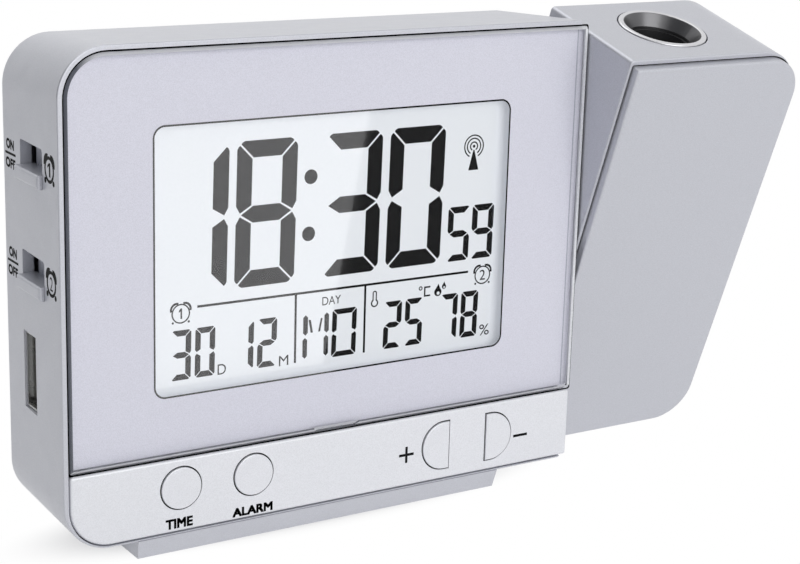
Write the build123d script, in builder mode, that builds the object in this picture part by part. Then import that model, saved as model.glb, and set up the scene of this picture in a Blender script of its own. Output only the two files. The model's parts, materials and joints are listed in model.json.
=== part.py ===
from build123d import *
import os
from math import cos, radians, sin

os.makedirs("parts", exist_ok=True)

# Projection alarm clock, in millimetres. +Z is up, +X is the user's right and -Y faces the user.
# The origin is the centre of the foot's underside, on the table.

# ---------------------------------------------------------------- driving dimensions

# Foot, with one anti-slip pad under it
pad_height = 0.4
pad_length = 62.0
pad_depth = 16.0
pad_corner = 2.0
foot_height = 3.5
foot_length = 73.0
foot_depth = 25.0
foot_front_lean = 1.0
foot_back_lean = 0.5
foot_end_lean = 0.3
foot_wall = 1.8
foot_floor = 1.4
foot_pillar = 3.4
foot_screw_spread = 44.0
foot_screw_y = 3.0
foot_boss_height = 4.0

# Case shell; its left edge lies this far left of the foot's centre
foot_centre_inset = 50.0
case_width = 101.7
case_height = 84.0
case_depth = 27.0
case_wall = 2.0
left_draft = 1.2
top_draft = 1.3
front_corner = 8.4
back_corner = 8.5
right_corner = 0.8
inner_corner = 0.4
front_edge_round = 0.25
back_edge_round = 0.8
rim_width = 0.85
rim_lip = 0.3
recess_depth = 2.4
bulkhead = 1.2

# Front plates: the clear lens above and the button bar below
plate_gap = 0.3
plate_overhang = 1.2
plate_corner = 0.5
bar_top = 13.5
bar_lip_gap = 0.15
bar_skin = 1.2
bar_skirt = 0.7
bar_edge_round = 0.5
lens_thickness = 1.5
lens_bevel = 0.6
lens_bar_gap = 0.35
lens_notch_left = 47.5
lens_notch_width = 8.0
lens_notch_height = 0.35
lens_travel = 0.5
film_thickness = 0.15
film_inset = 0.1

# Hooks that hold the lens in the case
hook_width = 3.0
hook_thickness = 1.2
hook_barb = 0.8
hook_barb_length = 1.0
hook_slot_gap = 0.3
hook_inset = 5.6
hook_low = 24.0
hook_high = 62.0

# Display window and what lies behind it
window_left = 16.88
window_width = 70.17
window_bottom = 24.25
window_height = 45.96
window_corner = 2.0
bezel_side_margin = 1.8
bezel_end_margin = 1.2
glass_border = 1.7
glass_thickness = 1.8
backlight_thickness = 2.5
frame_wall = 1.6
frame_gap = 0.15
zebra_height = 2.0
zebra_inset = 1.0

# Buttons and their switches
button_gap = 0.25
button_proud = 0.3
button_flange = 0.6
button_flange_overhang = 0.5
button_travel = 0.4
button_edge_round = 0.2
stem_radius = 1.1
stem_hole_gap = 0.35
press_gap = 0.05
round_button_radius = 3.7
round_button_z = 8.25
time_button_x = 21.15
alarm_button_x = 34.95
d_button_radius = 4.5
d_button_straight = 1.15
d_button_z = 7.0
plus_flat_x = 75.5
minus_flat_x = 83.8
switch_size = 6.0
switch_body = 2.2
plunger_radius = 1.6
plunger_height = 0.6
snooze_x = 51.5
snooze_z = 16.2

# Main board
board_thickness = 1.6
board_bottom = 3.2
board_top_gap = 4.2
board_boss_gap = 0.3
board_post_radius = 2.0
board_post_inset = 3.8
board_post_low = 17.0
board_post_high = 77.5
chip_radius = 8.0
chip_height = 1.4
chip_x = 44.0
chip_z = 56.0

# Screws: thread, head and the clearance of a hole around them
screw_radius = 1.1
screw_head_radius = 2.2
screw_head = 1.0
screw_length = 8.0
screw_hole_gap = 0.05
small_screw_length = 4.5
case_boss_radius = 3.0
case_boss_inset = 8.0
case_boss_right_inset = 6.6
case_boss_end_inset = 9.0

# Left wall: two alarm switches, one above the other, and the charging socket
slot_front = 7.3
slot_width = 10.7
slot_height = 6.7
slot_corner = 0.6
slot_1_bottom = 60.0
slot_pitch = 18.5
knob_gap = 0.2
knob_height = 2.3
knob_proud = 1.1
knob_round = 0.5
shield_gap = 0.3
shield_thickness = 1.0
shield_side = 1.2
shield_overlap = 1.2
drive_tab = 1.6
drive_tab_width = 1.2
switch_case_depth = 4.0
switch_case_width = 4.0
switch_case_margin = 1.6
switch_slot_gap = 0.3
side_board_thickness = 1.2
side_board_left_gap = 1.4
side_board_right = 16.0
side_board_margin = 3.2
side_post_radius = 1.7
side_post_x = 9.3
side_post_low = 36.6
side_post_high = 53.9
usb_width = 13.3
usb_thickness = 5.7
usb_length = 14.0
usb_shell = 0.35
usb_back = 18.05
usb_bottom = 20.75
usb_hole_gap = 0.12
usb_mouth_inset = 0.5
tongue_width = 11.1
tongue_thickness = 1.84
tongue_offset = 0.9
tongue_setback = 1.2
tongue_base = 3.0

# Rear cover, battery bay and door
cover_thickness = 2.0
cover_gap = 0.15
battery_radius = 5.25
battery_length = 44.5
battery_nub_radius = 1.9
battery_nub = 1.0
battery_gap = 0.3
contact_room = 2.4
bay_centre_x = 46.0
bay_bottom = 16.0
bay_wall = 1.8
bay_floor = 1.2
door_thickness = 1.6
door_ledge = 1.2
door_gap = 0.15
door_corner = 1.5
door_grip_width = 14.0
door_grip_height = 5.0
door_grip_depth = 0.7
contact_plate = 0.4
contact_width = 7.0
contact_leaf = 0.35
contact_dimple = 2.2

# Power inlet in the rear cover
jack_right_inset = 17.7
jack_z = 14.5
jack_width = 9.0
jack_height = 11.0
jack_body_depth = 11.0
jack_collar_radius = 3.9
jack_bore_radius = 2.9
jack_bore_depth = 9.5
jack_pin_radius = 1.0
jack_pin_setback = 1.5

# Speaker, climate sensor and radio antenna
speaker_radius = 11.5
speaker_depth = 4.5
speaker_x = 34.0
speaker_z = 57.0
speaker_ring_wall = 1.2
speaker_ring_height = 3.0
speaker_fit = 0.1
grille_hole_radius = 0.8
grille_pitch = 3.0
grille_inner_count = 6
grille_outer_count = 12
sensor_width = 12.0
sensor_height = 15.5
sensor_depth = 5.5
sensor_x = 80.0
sensor_top_gap = 10.05
vent_width = 10.0
vent_height = 1.2
vent_pitch = 2.6
vent_count = 6
antenna_radius = 3.5
antenna_length = 46.0
antenna_x = 55.0
antenna_y = 17.5
antenna_top_gap = 0.8
coil_radius = 4.6
coil_length = 20.0
coil_fit = 0.05
cradle_thickness = 2.0
cradle_wall = 1.4
cradle_inset = 4.0

# Swivel between the case and the projector arm
pivot_behind = 12.0
pivot_up = 42.0
shaft_radius = 5.0
shaft_bore = 3.0
shaft_running_gap = 0.06
shaft_end = 2.2
swivel_boss_radius = 7.5
swivel_boss_gap = 0.3
washer_radius = 7.0
washer_thickness = 0.8
clip_radius = 6.8
clip_thickness = 0.8
clip_groove = 0.8
clip_mouth = 6.0
flange_radius = 8.0
flange_thickness = 1.6
lead_radius = 1.2
lead_socket_length = 4.0
lead_socket_width = 6.0
lead_socket_wall = 2.0
lead_socket_x = 82.0
lead_end_gap = 0.3
lead_reach = 4.5

# Projector arm, in its own frame about the pivot: across, back and up
arm_tilt = 19.5
arm_gap = 0.3
arm_width = 41.85
arm_front = 11.1
arm_back = 14.25
arm_top = 42.25
arm_top_drop = 1.6
arm_bottom = 43.1
arm_bottom_rise = 1.2
arm_wall = 2.0
arm_top_corner = 10.0
arm_bottom_corner = 7.8
arm_left_corner = 0.8
arm_back_shrink = 0.2
arm_edge_round = 0.3
arm_rim = 0.45
arm_top_ledge = 0.45
arm_pocket_corner = 8.0
arm_pocket_depth = 0.9
arm_cover_gap = 0.27
arm_cover_proud = 1.65
arm_cover_hollow = 0.95
arm_cover_round = 0.4
arm_post_radius = 3.0
arm_post_left = 5.8
arm_post_right = 6.8
arm_post_low = -36.0
arm_post_high_left = 22.0
arm_post_high_right = 33.0

# Optics, measured from the top face of the arm along the optical axis
optic_x = 16.9
optic_back = 12.78
ring_hole_radius = 8.65
ring_radius = 8.4
ring_mouth_radius = 7.4
ring_cone_depth = 2.1
ring_proud = 0.25
ring_flange_radius = 9.4
ring_flange_thickness = 1.0
ring_play = 0.1
ring_depth = 7.0
ring_lip_round = 0.3
barrel_radius = 6.0
barrel_gap = 0.1
barrel_top = 2.6
barrel_length = 9.4
barrel_wall = 1.0
lens_seat_wall = 0.5
lens_seat_depth = 3.0
projection_lens_edge = 1.2
projection_lens_bulge = 1.4
tube_wall = 1.2
tube_bottom = 26.0
tube_flange_size = 16.0
tube_flange_thickness = 2.0
lug_radius = 2.3
lug_thickness = 2.0
lug_spread = 12.2
slide_size = 13.0
slide_thickness = 2.0
slide_gap = 0.1
lamp_housing_bottom = 36.0
condenser_radius = 5.6
condenser_top = 29.0
condenser_edge = 1.0
condenser_bulge = 1.6
lamp_board_size = 15.0
lamp_board_thickness = 1.6
lamp_radius = 2.5
lamp_height = 3.2

# Board in the arm
arm_board_back = 6.0
arm_board_thickness = 1.6
arm_board_top = 3.0
arm_board_bottom = -30.0
arm_board_left = 4.6
arm_board_width = 33.0
arm_board_post_radius = 2.2
arm_board_post_inset = 3.5

# ---------------------------------------------------------------- derived places

RIGHT = (1, 0, 0)
BACK = (0, 1, 0)
FRONT = (0, -1, 0)
UP = (0, 0, 1)

case_left = -foot_centre_inset
case_right = case_left + case_width
case_front = -(foot_depth / 2 + foot_front_lean)
case_bottom = pad_height + foot_height
case_top = case_bottom + case_height

pivot_y = case_front + pivot_behind
pivot_z = case_bottom + pivot_up

lens_right = case_right + plate_overhang
arm_left = lens_right + arm_gap
arm_right = arm_left + arm_width

bulkhead_back = recess_depth + bulkhead
glass_back = bulkhead_back + glass_thickness
board_front = glass_back + backlight_thickness
board_back = board_front + board_thickness
plunger_tip = board_front - switch_body - plunger_height
cover_front = case_depth - cover_thickness
board_top = case_height - board_top_gap
sensor_z = board_top - sensor_top_gap - sensor_height / 2

ARM_UP = (0, -sin(radians(arm_tilt)), cos(radians(arm_tilt)))
ARM_BACK = (0, cos(radians(arm_tilt)), sin(radians(arm_tilt)))
ARM_FRONT = (0, -ARM_BACK[1], -ARM_BACK[2])
arm_depth = arm_front + arm_back
arm_inner_back = arm_back - arm_wall
top_slope = Vector(0, arm_depth, -arm_top_drop).normalized()


def from_left(x):
    """X of a place measured from the case's left edge."""
    return case_left + x


def from_front(y):
    """Y of a place measured from the case's front."""
    return case_front + y


def from_bottom(z):
    """Z of a place measured from the case's underside."""
    return case_bottom + z


def in_case(x, y, z):
    """A point measured from the case's left edge, front and underside."""
    return (from_left(x), from_front(y), from_bottom(z))


def in_arm(across, back, up):
    """A point of the arm, measured from the arm's left face and from the pivot."""
    y = pivot_y + back * ARM_BACK[1] + up * ARM_UP[1]
    z = pivot_z + back * ARM_BACK[2] + up * ARM_UP[2]
    return (arm_left + across, y, z)


# The optical axis stands square on the arm's top face.
top_back = optic_back * top_slope.Y - arm_front
top_up = optic_back * top_slope.Z + arm_top
optic_origin = Vector(*in_arm(optic_x, top_back, top_up))
slope_y = top_slope.Y * ARM_BACK[1] + top_slope.Z * ARM_UP[1]
slope_z = top_slope.Y * ARM_BACK[2] + top_slope.Z * ARM_UP[2]
OPTIC_UP = Vector(0, -slope_z, slope_y)
OPTIC_DOWN = OPTIC_UP * -1
OPTIC_BACK = Vector(0, slope_y, slope_z)


def case_plane(depth):
    """Upright plane at a depth behind the case's front; its normal points to the user."""
    return Plane.XZ.offset(-from_front(depth))


def arm_plane(back):
    """Plane of the arm's front face, moved back by a distance from the pivot."""
    y = pivot_y + back * ARM_BACK[1]
    z = pivot_z + back * ARM_BACK[2]
    return Plane(origin=(0, y, z), x_dir=RIGHT, z_dir=ARM_FRONT)


def optic_plane(depth):
    """Plane square to the optical axis at a depth below the arm's top face."""
    return Plane(origin=optic_origin - OPTIC_UP * depth, x_dir=RIGHT, z_dir=OPTIC_UP)


def on_optic(x, back, depth):
    """A point beside the optical axis at a depth below the arm's top face."""
    return optic_origin + Vector(x, 0, 0) + OPTIC_BACK * back - OPTIC_UP * depth


def outline(plane, left, right, bottom, top, radii):
    """Rectangle with radii for its bottom left, bottom right, top right and top left corners."""
    with BuildSketch(plane) as shape:
        with BuildLine():
            corners = ((left, bottom), (right, bottom), (right, top), (left, top))
            FilletPolyline(*corners, radius=radii, close=True)
        make_face()
    return shape.sketch


def block(low, high, mode=Mode.ADD):
    """Box between two opposite corners."""
    size = Vector(*high) - Vector(*low)
    with Locations((Vector(*low) + Vector(*high)) * 0.5):
        Box(size.X, size.Y, size.Z, mode=mode)


def pin(start, direction, radius, length, mode=Mode.ADD):
    """Round bar from a start point along a direction."""
    with Locations(Plane(origin=start, z_dir=direction)):
        Cylinder(radius, length, align=(Align.CENTER, Align.CENTER, Align.MIN), mode=mode)


def screw(seat, direction, length):
    """Pan-head screw: the head's underside lies on the seat, and the thread runs along the direction."""
    outward = Vector(*direction) * -1
    pin(seat, direction, screw_radius, length)
    pin(seat, outward, screw_head_radius, screw_head)


def finish(piece, name):
    """Label a piece and write its STEP file."""
    piece.part.label = name
    export_step(piece.part, f"parts/{name}.step")


# ---------------------------------------------------------------- case


def case_section(depth, inset=0.0):
    """The case's outline at a depth behind its front, moved in by an inset."""
    share = depth / case_depth
    left = case_left + left_draft * share + inset
    top = case_top - top_draft * share - inset
    rounded = front_corner + (back_corner - front_corner) * share - inset
    square = max(right_corner - inset, inner_corner)
    radii = (rounded, square, square, rounded)
    return outline(case_plane(depth), left, case_right - inset, case_bottom + inset, top, radii)


def wall_x(depth):
    """X of the left wall's outside at a depth behind the case's front."""
    return case_left + left_draft * depth / case_depth


boss_places = [
    (x, z)
    for x in (case_boss_inset, case_width - case_boss_right_inset)
    for z in (case_boss_end_inset, case_height - case_boss_end_inset)
]
board_left = case_boss_inset + case_boss_radius + board_boss_gap
board_right = case_width - case_boss_right_inset - case_boss_radius - board_boss_gap
board_post_places = [
    (x, z)
    for x in (board_left + board_post_inset, board_right - board_post_inset)
    for z in (board_post_low, board_post_high)
]
side_post_places = [(side_post_x, side_post_low), (side_post_x, side_post_high)]
foot_screw_places = [(-foot_screw_spread / 2, foot_screw_y), (foot_screw_spread / 2, foot_screw_y)]
plus_button_x = plus_flat_x - d_button_straight
minus_button_x = minus_flat_x + d_button_straight
switch_places = [
    (time_button_x, round_button_z),
    (alarm_button_x, round_button_z),
    (plus_button_x, d_button_z),
    (minus_button_x, d_button_z),
    (snooze_x, snooze_z),
]
slot_bottoms = (slot_1_bottom, slot_1_bottom - slot_pitch)
recess_corner = front_corner - rim_width
bezel_left = window_left - bezel_side_margin
bezel_right = window_left + window_width + bezel_side_margin
bezel_bottom = window_bottom - bezel_end_margin
bezel_top = window_bottom + window_height + bezel_end_margin
glass_left = bezel_left - glass_border
glass_right = bezel_right + glass_border
glass_bottom = bezel_bottom - glass_border
glass_top = bezel_top + glass_border
hook_sides = ((hook_inset, -1), (case_width - hook_inset, 1))
swivel_boss_end = arm_left - swivel_boss_gap

with BuildPart() as front_housing:
    loft(sections=[case_section(0), case_section(case_depth)], ruled=True)
    fillet(front_housing.edges().group_by(Axis.Y)[0], front_edge_round)
    fillet(front_housing.edges().group_by(Axis.Y)[-1], back_edge_round)
    # Recess for the two front plates, open to the right
    recess_radii = (recess_corner, 0, 0, recess_corner)
    recess = outline(
        case_plane(0),
        case_left + rim_width,
        lens_right,
        case_bottom + rim_lip,
        case_top - rim_width,
        recess_radii,
    )
    extrude(to_extrude=recess, amount=-recess_depth, mode=Mode.SUBTRACT)
    # Hollow behind the bulkhead, open at the back
    hollow_front = case_section(bulkhead_back, case_wall)
    loft(sections=[hollow_front, case_section(case_depth, case_wall)], ruled=True, mode=Mode.SUBTRACT)
    # Bosses for the rear cover's screws and posts for the boards
    for x, z in boss_places:
        pin(in_case(x, bulkhead_back, z), BACK, case_boss_radius, cover_front - bulkhead_back)
    for x, z in board_post_places:
        pin(in_case(x, bulkhead_back, z), BACK, board_post_radius, board_front - bulkhead_back)
    for x, z in side_post_places:
        pin(in_case(x, bulkhead_back, z), BACK, side_post_radius, usb_back - bulkhead_back)
    for x, z in boss_places:
        hole_start = in_case(x, cover_front, z)
        pin(hole_start, FRONT, screw_radius + screw_hole_gap, screw_length, mode=Mode.SUBTRACT)
    for x, z in board_post_places:
        hole_start = in_case(x, board_front, z)
        hole_depth = board_front - bulkhead_back
        pin(hole_start, FRONT, screw_radius + screw_hole_gap, hole_depth, mode=Mode.SUBTRACT)
    for x, z in side_post_places:
        hole_start = in_case(x, usb_back, z)
        pin(hole_start, FRONT, screw_radius + screw_hole_gap, small_screw_length, mode=Mode.SUBTRACT)
    # Opening in front of the display glass
    block(
        in_case(bezel_left, recess_depth, bezel_bottom),
        in_case(bezel_right, bulkhead_back, bezel_top),
        mode=Mode.SUBTRACT,
    )
    # Holes for the stems of the buttons and of the lens
    for x, z in switch_places:
        stem_hole = in_case(x, recess_depth, z)
        pin(stem_hole, BACK, stem_radius + stem_hole_gap, bulkhead, mode=Mode.SUBTRACT)
    # Slots for the lens's hooks
    for x, side in hook_sides:
        for z in (hook_low, hook_high):
            half_slot = hook_thickness / 2 + hook_slot_gap
            half_height = hook_width / 2 + hook_slot_gap
            block(
                in_case(x - half_slot, recess_depth, z - half_height),
                in_case(x + half_slot, bulkhead_back, z + half_height),
                mode=Mode.SUBTRACT,
            )
    # Openings in the left wall for the two knobs and the charging socket
    for bottom in slot_bottoms:
        slot_radii = (slot_corner,) * 4
        slot_back = from_front(slot_front + slot_width)
        slot = outline(
            Plane.YZ.offset(case_left),
            from_front(slot_front),
            slot_back,
            from_bottom(bottom),
            from_bottom(bottom + slot_height),
            slot_radii,
        )
        extrude(to_extrude=slot, amount=case_wall + left_draft, mode=Mode.SUBTRACT)
    usb_hole_low = from_bottom(usb_bottom - usb_hole_gap)
    usb_hole_high = from_bottom(usb_bottom + usb_width + usb_hole_gap)
    block(
        (case_left, from_front(usb_back - usb_thickness - usb_hole_gap), usb_hole_low),
        (case_left + case_wall + left_draft, from_front(usb_back + usb_hole_gap), usb_hole_high),
        mode=Mode.SUBTRACT,
    )
    # Boss and bore for the swivel shaft in the right wall
    pin((case_right, pivot_y, pivot_z), RIGHT, swivel_boss_radius, swivel_boss_end - case_right)
    bore_start = (case_right - case_wall, pivot_y, pivot_z)
    bore_length = swivel_boss_end - case_right + case_wall
    pin(bore_start, RIGHT, shaft_radius + shaft_running_gap, bore_length, mode=Mode.SUBTRACT)
    # Bosses over the foot, with holes for its screws
    for x, y in foot_screw_places:
        pin((x, y, case_bottom + case_wall), UP, case_boss_radius, foot_boss_height)
        screw_hole = screw_radius + screw_hole_gap
        pin((x, y, case_bottom), UP, screw_hole, case_wall + foot_boss_height, mode=Mode.SUBTRACT)
finish(front_housing, "front_housing")

# ---------------------------------------------------------------- foot

foot_bottom = pad_height

with BuildPart() as base_foot:
    foot_front = -foot_depth / 2
    foot_half = foot_length / 2
    with BuildSketch(Plane.XY.offset(foot_bottom)) as foot_base:
        Rectangle(foot_length, foot_depth)
    with BuildSketch(Plane.XY.offset(case_bottom)) as foot_crown:
        with Locations((0, (foot_back_lean - foot_front_lean) / 2)):
            crown_depth = foot_depth + foot_front_lean + foot_back_lean
            Rectangle(foot_length + 2 * foot_end_lean, crown_depth)
    loft(ruled=True)
    block(
        (-foot_half + foot_wall, foot_front + foot_wall, foot_bottom + foot_floor),
        (foot_half - foot_wall, -foot_front - foot_wall, case_bottom),
        mode=Mode.SUBTRACT,
    )
    for x, y in foot_screw_places:
        pin((x, y, foot_bottom), UP, foot_pillar, foot_height)
        pin((x, y, foot_bottom), UP, screw_radius + screw_hole_gap, foot_height, mode=Mode.SUBTRACT)
        head_hole = screw_head_radius + screw_hole_gap
        pin((x, y, foot_bottom), UP, head_hole, screw_head, mode=Mode.SUBTRACT)
finish(base_foot, "base_foot")

with BuildPart() as foot_screws:
    for x, y in foot_screw_places:
        screw((x, y, foot_bottom + screw_head), UP, screw_length - screw_head)
finish(foot_screws, "foot_screws")

with BuildPart() as foot_pad:
    with BuildSketch(Plane.XY):
        RectangleRounded(pad_length, pad_depth, radius=pad_corner)
    extrude(amount=pad_height)
finish(foot_pad, "foot_pad")

# ---------------------------------------------------------------- rear cover and battery door

bay_half_length = battery_length / 2 + contact_room
bay_left = bay_centre_x - bay_half_length
bay_right = bay_centre_x + bay_half_length
bay_height = 4 * battery_radius + 3 * battery_gap
bay_top = bay_bottom + bay_height
door_front = case_depth - door_thickness
battery_y = door_front - battery_gap - battery_radius
bay_back_floor = battery_y - battery_radius - battery_gap
cradle_places = [
    antenna_x - antenna_length / 2 + cradle_inset,
    antenna_x + antenna_length / 2 - cradle_inset,
]
cradle_top = case_height - top_draft - case_wall - antenna_top_gap
antenna_z = cradle_top - cradle_wall - antenna_radius
jack_x = case_width - jack_right_inset

with BuildPart() as rear_cover:
    extrude(to_extrude=case_section(case_depth, case_wall + cover_gap), amount=cover_thickness)
    # Battery bay with its ledge for the door
    block(
        in_case(bay_left - bay_wall, bay_back_floor - bay_floor, bay_bottom - bay_wall),
        in_case(bay_right + bay_wall, cover_front, bay_top + bay_wall),
    )
    block(
        in_case(bay_left, bay_back_floor, bay_bottom),
        in_case(bay_right, case_depth, bay_top),
        mode=Mode.SUBTRACT,
    )
    pocket_radii = (door_corner + door_gap,) * 4
    door_pocket = outline(
        case_plane(case_depth),
        from_left(bay_left - door_ledge - door_gap),
        from_left(bay_right + door_ledge + door_gap),
        from_bottom(bay_bottom - door_ledge - door_gap),
        from_bottom(bay_top + door_ledge + door_gap),
        pocket_radii,
    )
    extrude(to_extrude=door_pocket, amount=door_thickness, mode=Mode.SUBTRACT)
    # Holes for the case screws, with a seat for each head
    for x, z in boss_places:
        outside = in_case(x, case_depth, z)
        pin(outside, FRONT, screw_radius + screw_hole_gap, cover_thickness, mode=Mode.SUBTRACT)
        pin(outside, FRONT, screw_head_radius + screw_hole_gap, screw_head, mode=Mode.SUBTRACT)
    # Power inlet hole
    jack_hole = jack_collar_radius + screw_hole_gap
    pin(in_case(jack_x, cover_front, jack_z), BACK, jack_hole, cover_thickness, mode=Mode.SUBTRACT)
    # Ring and grille for the speaker
    ring_start = in_case(speaker_x, cover_front, speaker_z)
    ring_inner = speaker_radius + speaker_fit
    with BuildSketch(Plane(origin=ring_start, x_dir=RIGHT, z_dir=FRONT)):
        Circle(ring_inner + speaker_ring_wall)
        Circle(ring_inner, mode=Mode.SUBTRACT)
    extrude(amount=speaker_ring_height)
    with BuildSketch(Plane(origin=ring_start, x_dir=RIGHT, z_dir=BACK)):
        Circle(grille_hole_radius)
        with PolarLocations(grille_pitch, grille_inner_count):
            Circle(grille_hole_radius)
        with PolarLocations(2 * grille_pitch, grille_outer_count):
            Circle(grille_hole_radius)
    extrude(amount=cover_thickness, mode=Mode.SUBTRACT)
    # Vent slots behind the climate sensor
    with BuildSketch(Plane(origin=in_case(sensor_x, cover_front, sensor_z), x_dir=RIGHT, z_dir=FRONT)):
        with GridLocations(vent_width, vent_pitch, 1, vent_count):
            SlotOverall(vent_width, vent_height)
    extrude(amount=-cover_thickness, mode=Mode.SUBTRACT)
    # Cradles for the antenna
    for x in cradle_places:
        half = cradle_thickness / 2
        reach = antenna_radius + cradle_wall
        block(
            in_case(x - half, antenna_y, antenna_z - reach),
            in_case(x + half, cover_front, antenna_z + reach),
        )
        rod_seat = in_case(x - half, antenna_y, antenna_z)
        pin(rod_seat, RIGHT, antenna_radius, cradle_thickness, mode=Mode.SUBTRACT)
finish(rear_cover, "rear_cover")

with BuildPart() as battery_door:
    door_radii = (door_corner,) * 4
    door_outline = outline(
        case_plane(case_depth),
        from_left(bay_left - door_ledge),
        from_left(bay_right + door_ledge),
        from_bottom(bay_bottom - door_ledge),
        from_bottom(bay_top + door_ledge),
        door_radii,
    )
    extrude(to_extrude=door_outline, amount=door_thickness)
    grip_top = bay_top - door_grip_height / 2
    grip_place = in_case(bay_centre_x, case_depth, grip_top)
    with BuildSketch(Plane(origin=grip_place, x_dir=RIGHT, z_dir=FRONT)):
        SlotOverall(door_grip_width, door_grip_height)
    extrude(amount=door_grip_depth, mode=Mode.SUBTRACT)
finish(battery_door, "battery_door")

with BuildPart() as case_screws:
    for x, z in boss_places:
        screw(in_case(x, case_depth - screw_head, z), FRONT, screw_length)
finish(case_screws, "case_screws")

battery_z = [bay_bottom + battery_gap + battery_radius]
battery_z.append(battery_z[0] + 2 * battery_radius + battery_gap)
battery_ends = ((bay_left + contact_room, 1), (bay_right - contact_room, -1))

with BuildPart() as batteries:
    for z, (x, side) in zip(battery_z, battery_ends):
        along = (side, 0, 0)
        can_length = battery_length - battery_nub
        pin(in_case(x, battery_y, z), along, battery_radius, can_length)
        pin(in_case(x + side * can_length, battery_y, z), along, battery_nub_radius, battery_nub)
finish(batteries, "batteries")

with BuildPart() as battery_contacts:
    for z, (x, side) in zip(battery_z, battery_ends):
        # Leaf spring on the flat end
        leaf_plane = Plane.XY.offset(from_bottom(z - contact_width / 2))
        wall = x - side * contact_room
        half = contact_width / 2
        with BuildSketch(leaf_plane):
            with BuildLine():
                Polyline(
                    (from_left(wall + side * contact_plate / 2), from_front(battery_y - half)),
                    (from_left(x - side * contact_leaf), from_front(battery_y)),
                    (from_left(wall + side * contact_plate / 2), from_front(battery_y + half)),
                )
            trace(line_width=contact_leaf)
        extrude(amount=contact_width)
        plate_edge = wall + side * contact_plate
        block(
            in_case(min(wall, plate_edge), battery_y - half, z - half),
            in_case(max(wall, plate_edge), battery_y + half, z + half),
        )
        # Dimpled plate on the nub end
        far = x + side * (battery_length + contact_room)
        far_edge = far - side * contact_plate
        block(
            in_case(min(far, far_edge), battery_y - half, z - half),
            in_case(max(far, far_edge), battery_y + half, z + half),
        )
        pin(in_case(far, battery_y, z), (-side, 0, 0), contact_dimple, contact_room)
finish(battery_contacts, "battery_contacts")

# ---------------------------------------------------------------- power inlet, speaker, sensor, antenna

with BuildPart() as power_inlet:
    block(
        in_case(jack_x - jack_width / 2, cover_front - jack_body_depth, jack_z - jack_height / 2),
        in_case(jack_x + jack_width / 2, cover_front, jack_z + jack_height / 2),
    )
    pin(in_case(jack_x, cover_front, jack_z), BACK, jack_collar_radius, cover_thickness)
    pin(in_case(jack_x, case_depth, jack_z), FRONT, jack_bore_radius, jack_bore_depth, mode=Mode.SUBTRACT)
    pin_start = in_case(jack_x, case_depth - jack_bore_depth, jack_z)
    pin(pin_start, BACK, jack_pin_radius, jack_bore_depth - jack_pin_setback)
finish(power_inlet, "power_inlet")

with BuildPart() as speaker:
    pin(in_case(speaker_x, cover_front - speaker_depth, speaker_z), BACK, speaker_radius, speaker_depth)
finish(speaker, "speaker")

with BuildPart() as climate_sensor:
    block(
        in_case(sensor_x - sensor_width / 2, board_back, sensor_z - sensor_height / 2),
        in_case(sensor_x + sensor_width / 2, board_back + sensor_depth, sensor_z + sensor_height / 2),
    )
finish(climate_sensor, "climate_sensor")

with BuildPart() as antenna_rod:
    rod_start = in_case(antenna_x - antenna_length / 2, antenna_y, antenna_z)
    pin(rod_start, RIGHT, antenna_radius, antenna_length)
finish(antenna_rod, "antenna_rod")

with BuildPart() as antenna_coil:
    coil_start = in_case(antenna_x - coil_length / 2, antenna_y, antenna_z)
    pin(coil_start, RIGHT, coil_radius, coil_length)
    pin(coil_start, RIGHT, antenna_radius + coil_fit, coil_length, mode=Mode.SUBTRACT)
finish(antenna_coil, "antenna_coil")

# ---------------------------------------------------------------- display and main board

with BuildPart() as lcd_glass:
    block(in_case(glass_left, bulkhead_back, glass_bottom), in_case(glass_right, glass_back, glass_top))
finish(lcd_glass, "lcd_glass")

with BuildPart() as display_frame:
    opening_low = (glass_left - frame_gap, glass_bottom - frame_gap)
    opening_high = (glass_right + frame_gap, glass_top + frame_gap)
    block(
        in_case(opening_low[0] - frame_wall, bulkhead_back, opening_low[1] - frame_wall),
        in_case(opening_high[0] + frame_wall, board_front, opening_high[1] + frame_wall),
    )
    block(
        in_case(opening_low[0], bulkhead_back, opening_low[1]),
        in_case(opening_high[0], board_front, opening_high[1]),
        mode=Mode.SUBTRACT,
    )
finish(display_frame, "display_frame")

zebra_top = glass_bottom + zebra_height

with BuildPart() as zebra_strip:
    block(
        in_case(glass_left + zebra_inset, glass_back, glass_bottom),
        in_case(glass_right - zebra_inset, board_front, zebra_top),
    )
finish(zebra_strip, "zebra_strip")

with BuildPart() as backlight_panel:
    block(
        in_case(glass_left, glass_back, zebra_top + frame_gap),
        in_case(glass_right, board_front, glass_top),
    )
finish(backlight_panel, "backlight_panel")

with BuildPart() as main_board:
    block(in_case(board_left, board_front, board_bottom), in_case(board_right, board_back, board_top))
    for x, z in board_post_places:
        hole_start = in_case(x, board_front, z)
        pin(hole_start, BACK, screw_radius + screw_hole_gap, board_thickness, mode=Mode.SUBTRACT)
finish(main_board, "main_board")

with BuildPart() as microcontroller:
    pin(in_case(chip_x, board_back, chip_z), BACK, chip_radius, chip_height)
finish(microcontroller, "microcontroller")

with BuildPart() as tact_switches:
    for x, z in switch_places:
        half = switch_size / 2
        body_front = board_front - switch_body
        block(in_case(x - half, body_front, z - half), in_case(x + half, board_front, z + half))
        pin(in_case(x, board_front - switch_body, z), FRONT, plunger_radius, plunger_height)
finish(tact_switches, "tact_switches")

side_board_back = usb_back + side_board_thickness

with BuildPart() as board_screws:
    for x, z in board_post_places:
        screw(in_case(x, board_back, z), FRONT, small_screw_length)
    for x, z in side_post_places:
        screw(in_case(x, side_board_back, z), FRONT, small_screw_length)
finish(board_screws, "board_screws")

# ---------------------------------------------------------------- lens plate, which is also the snooze key

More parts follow.
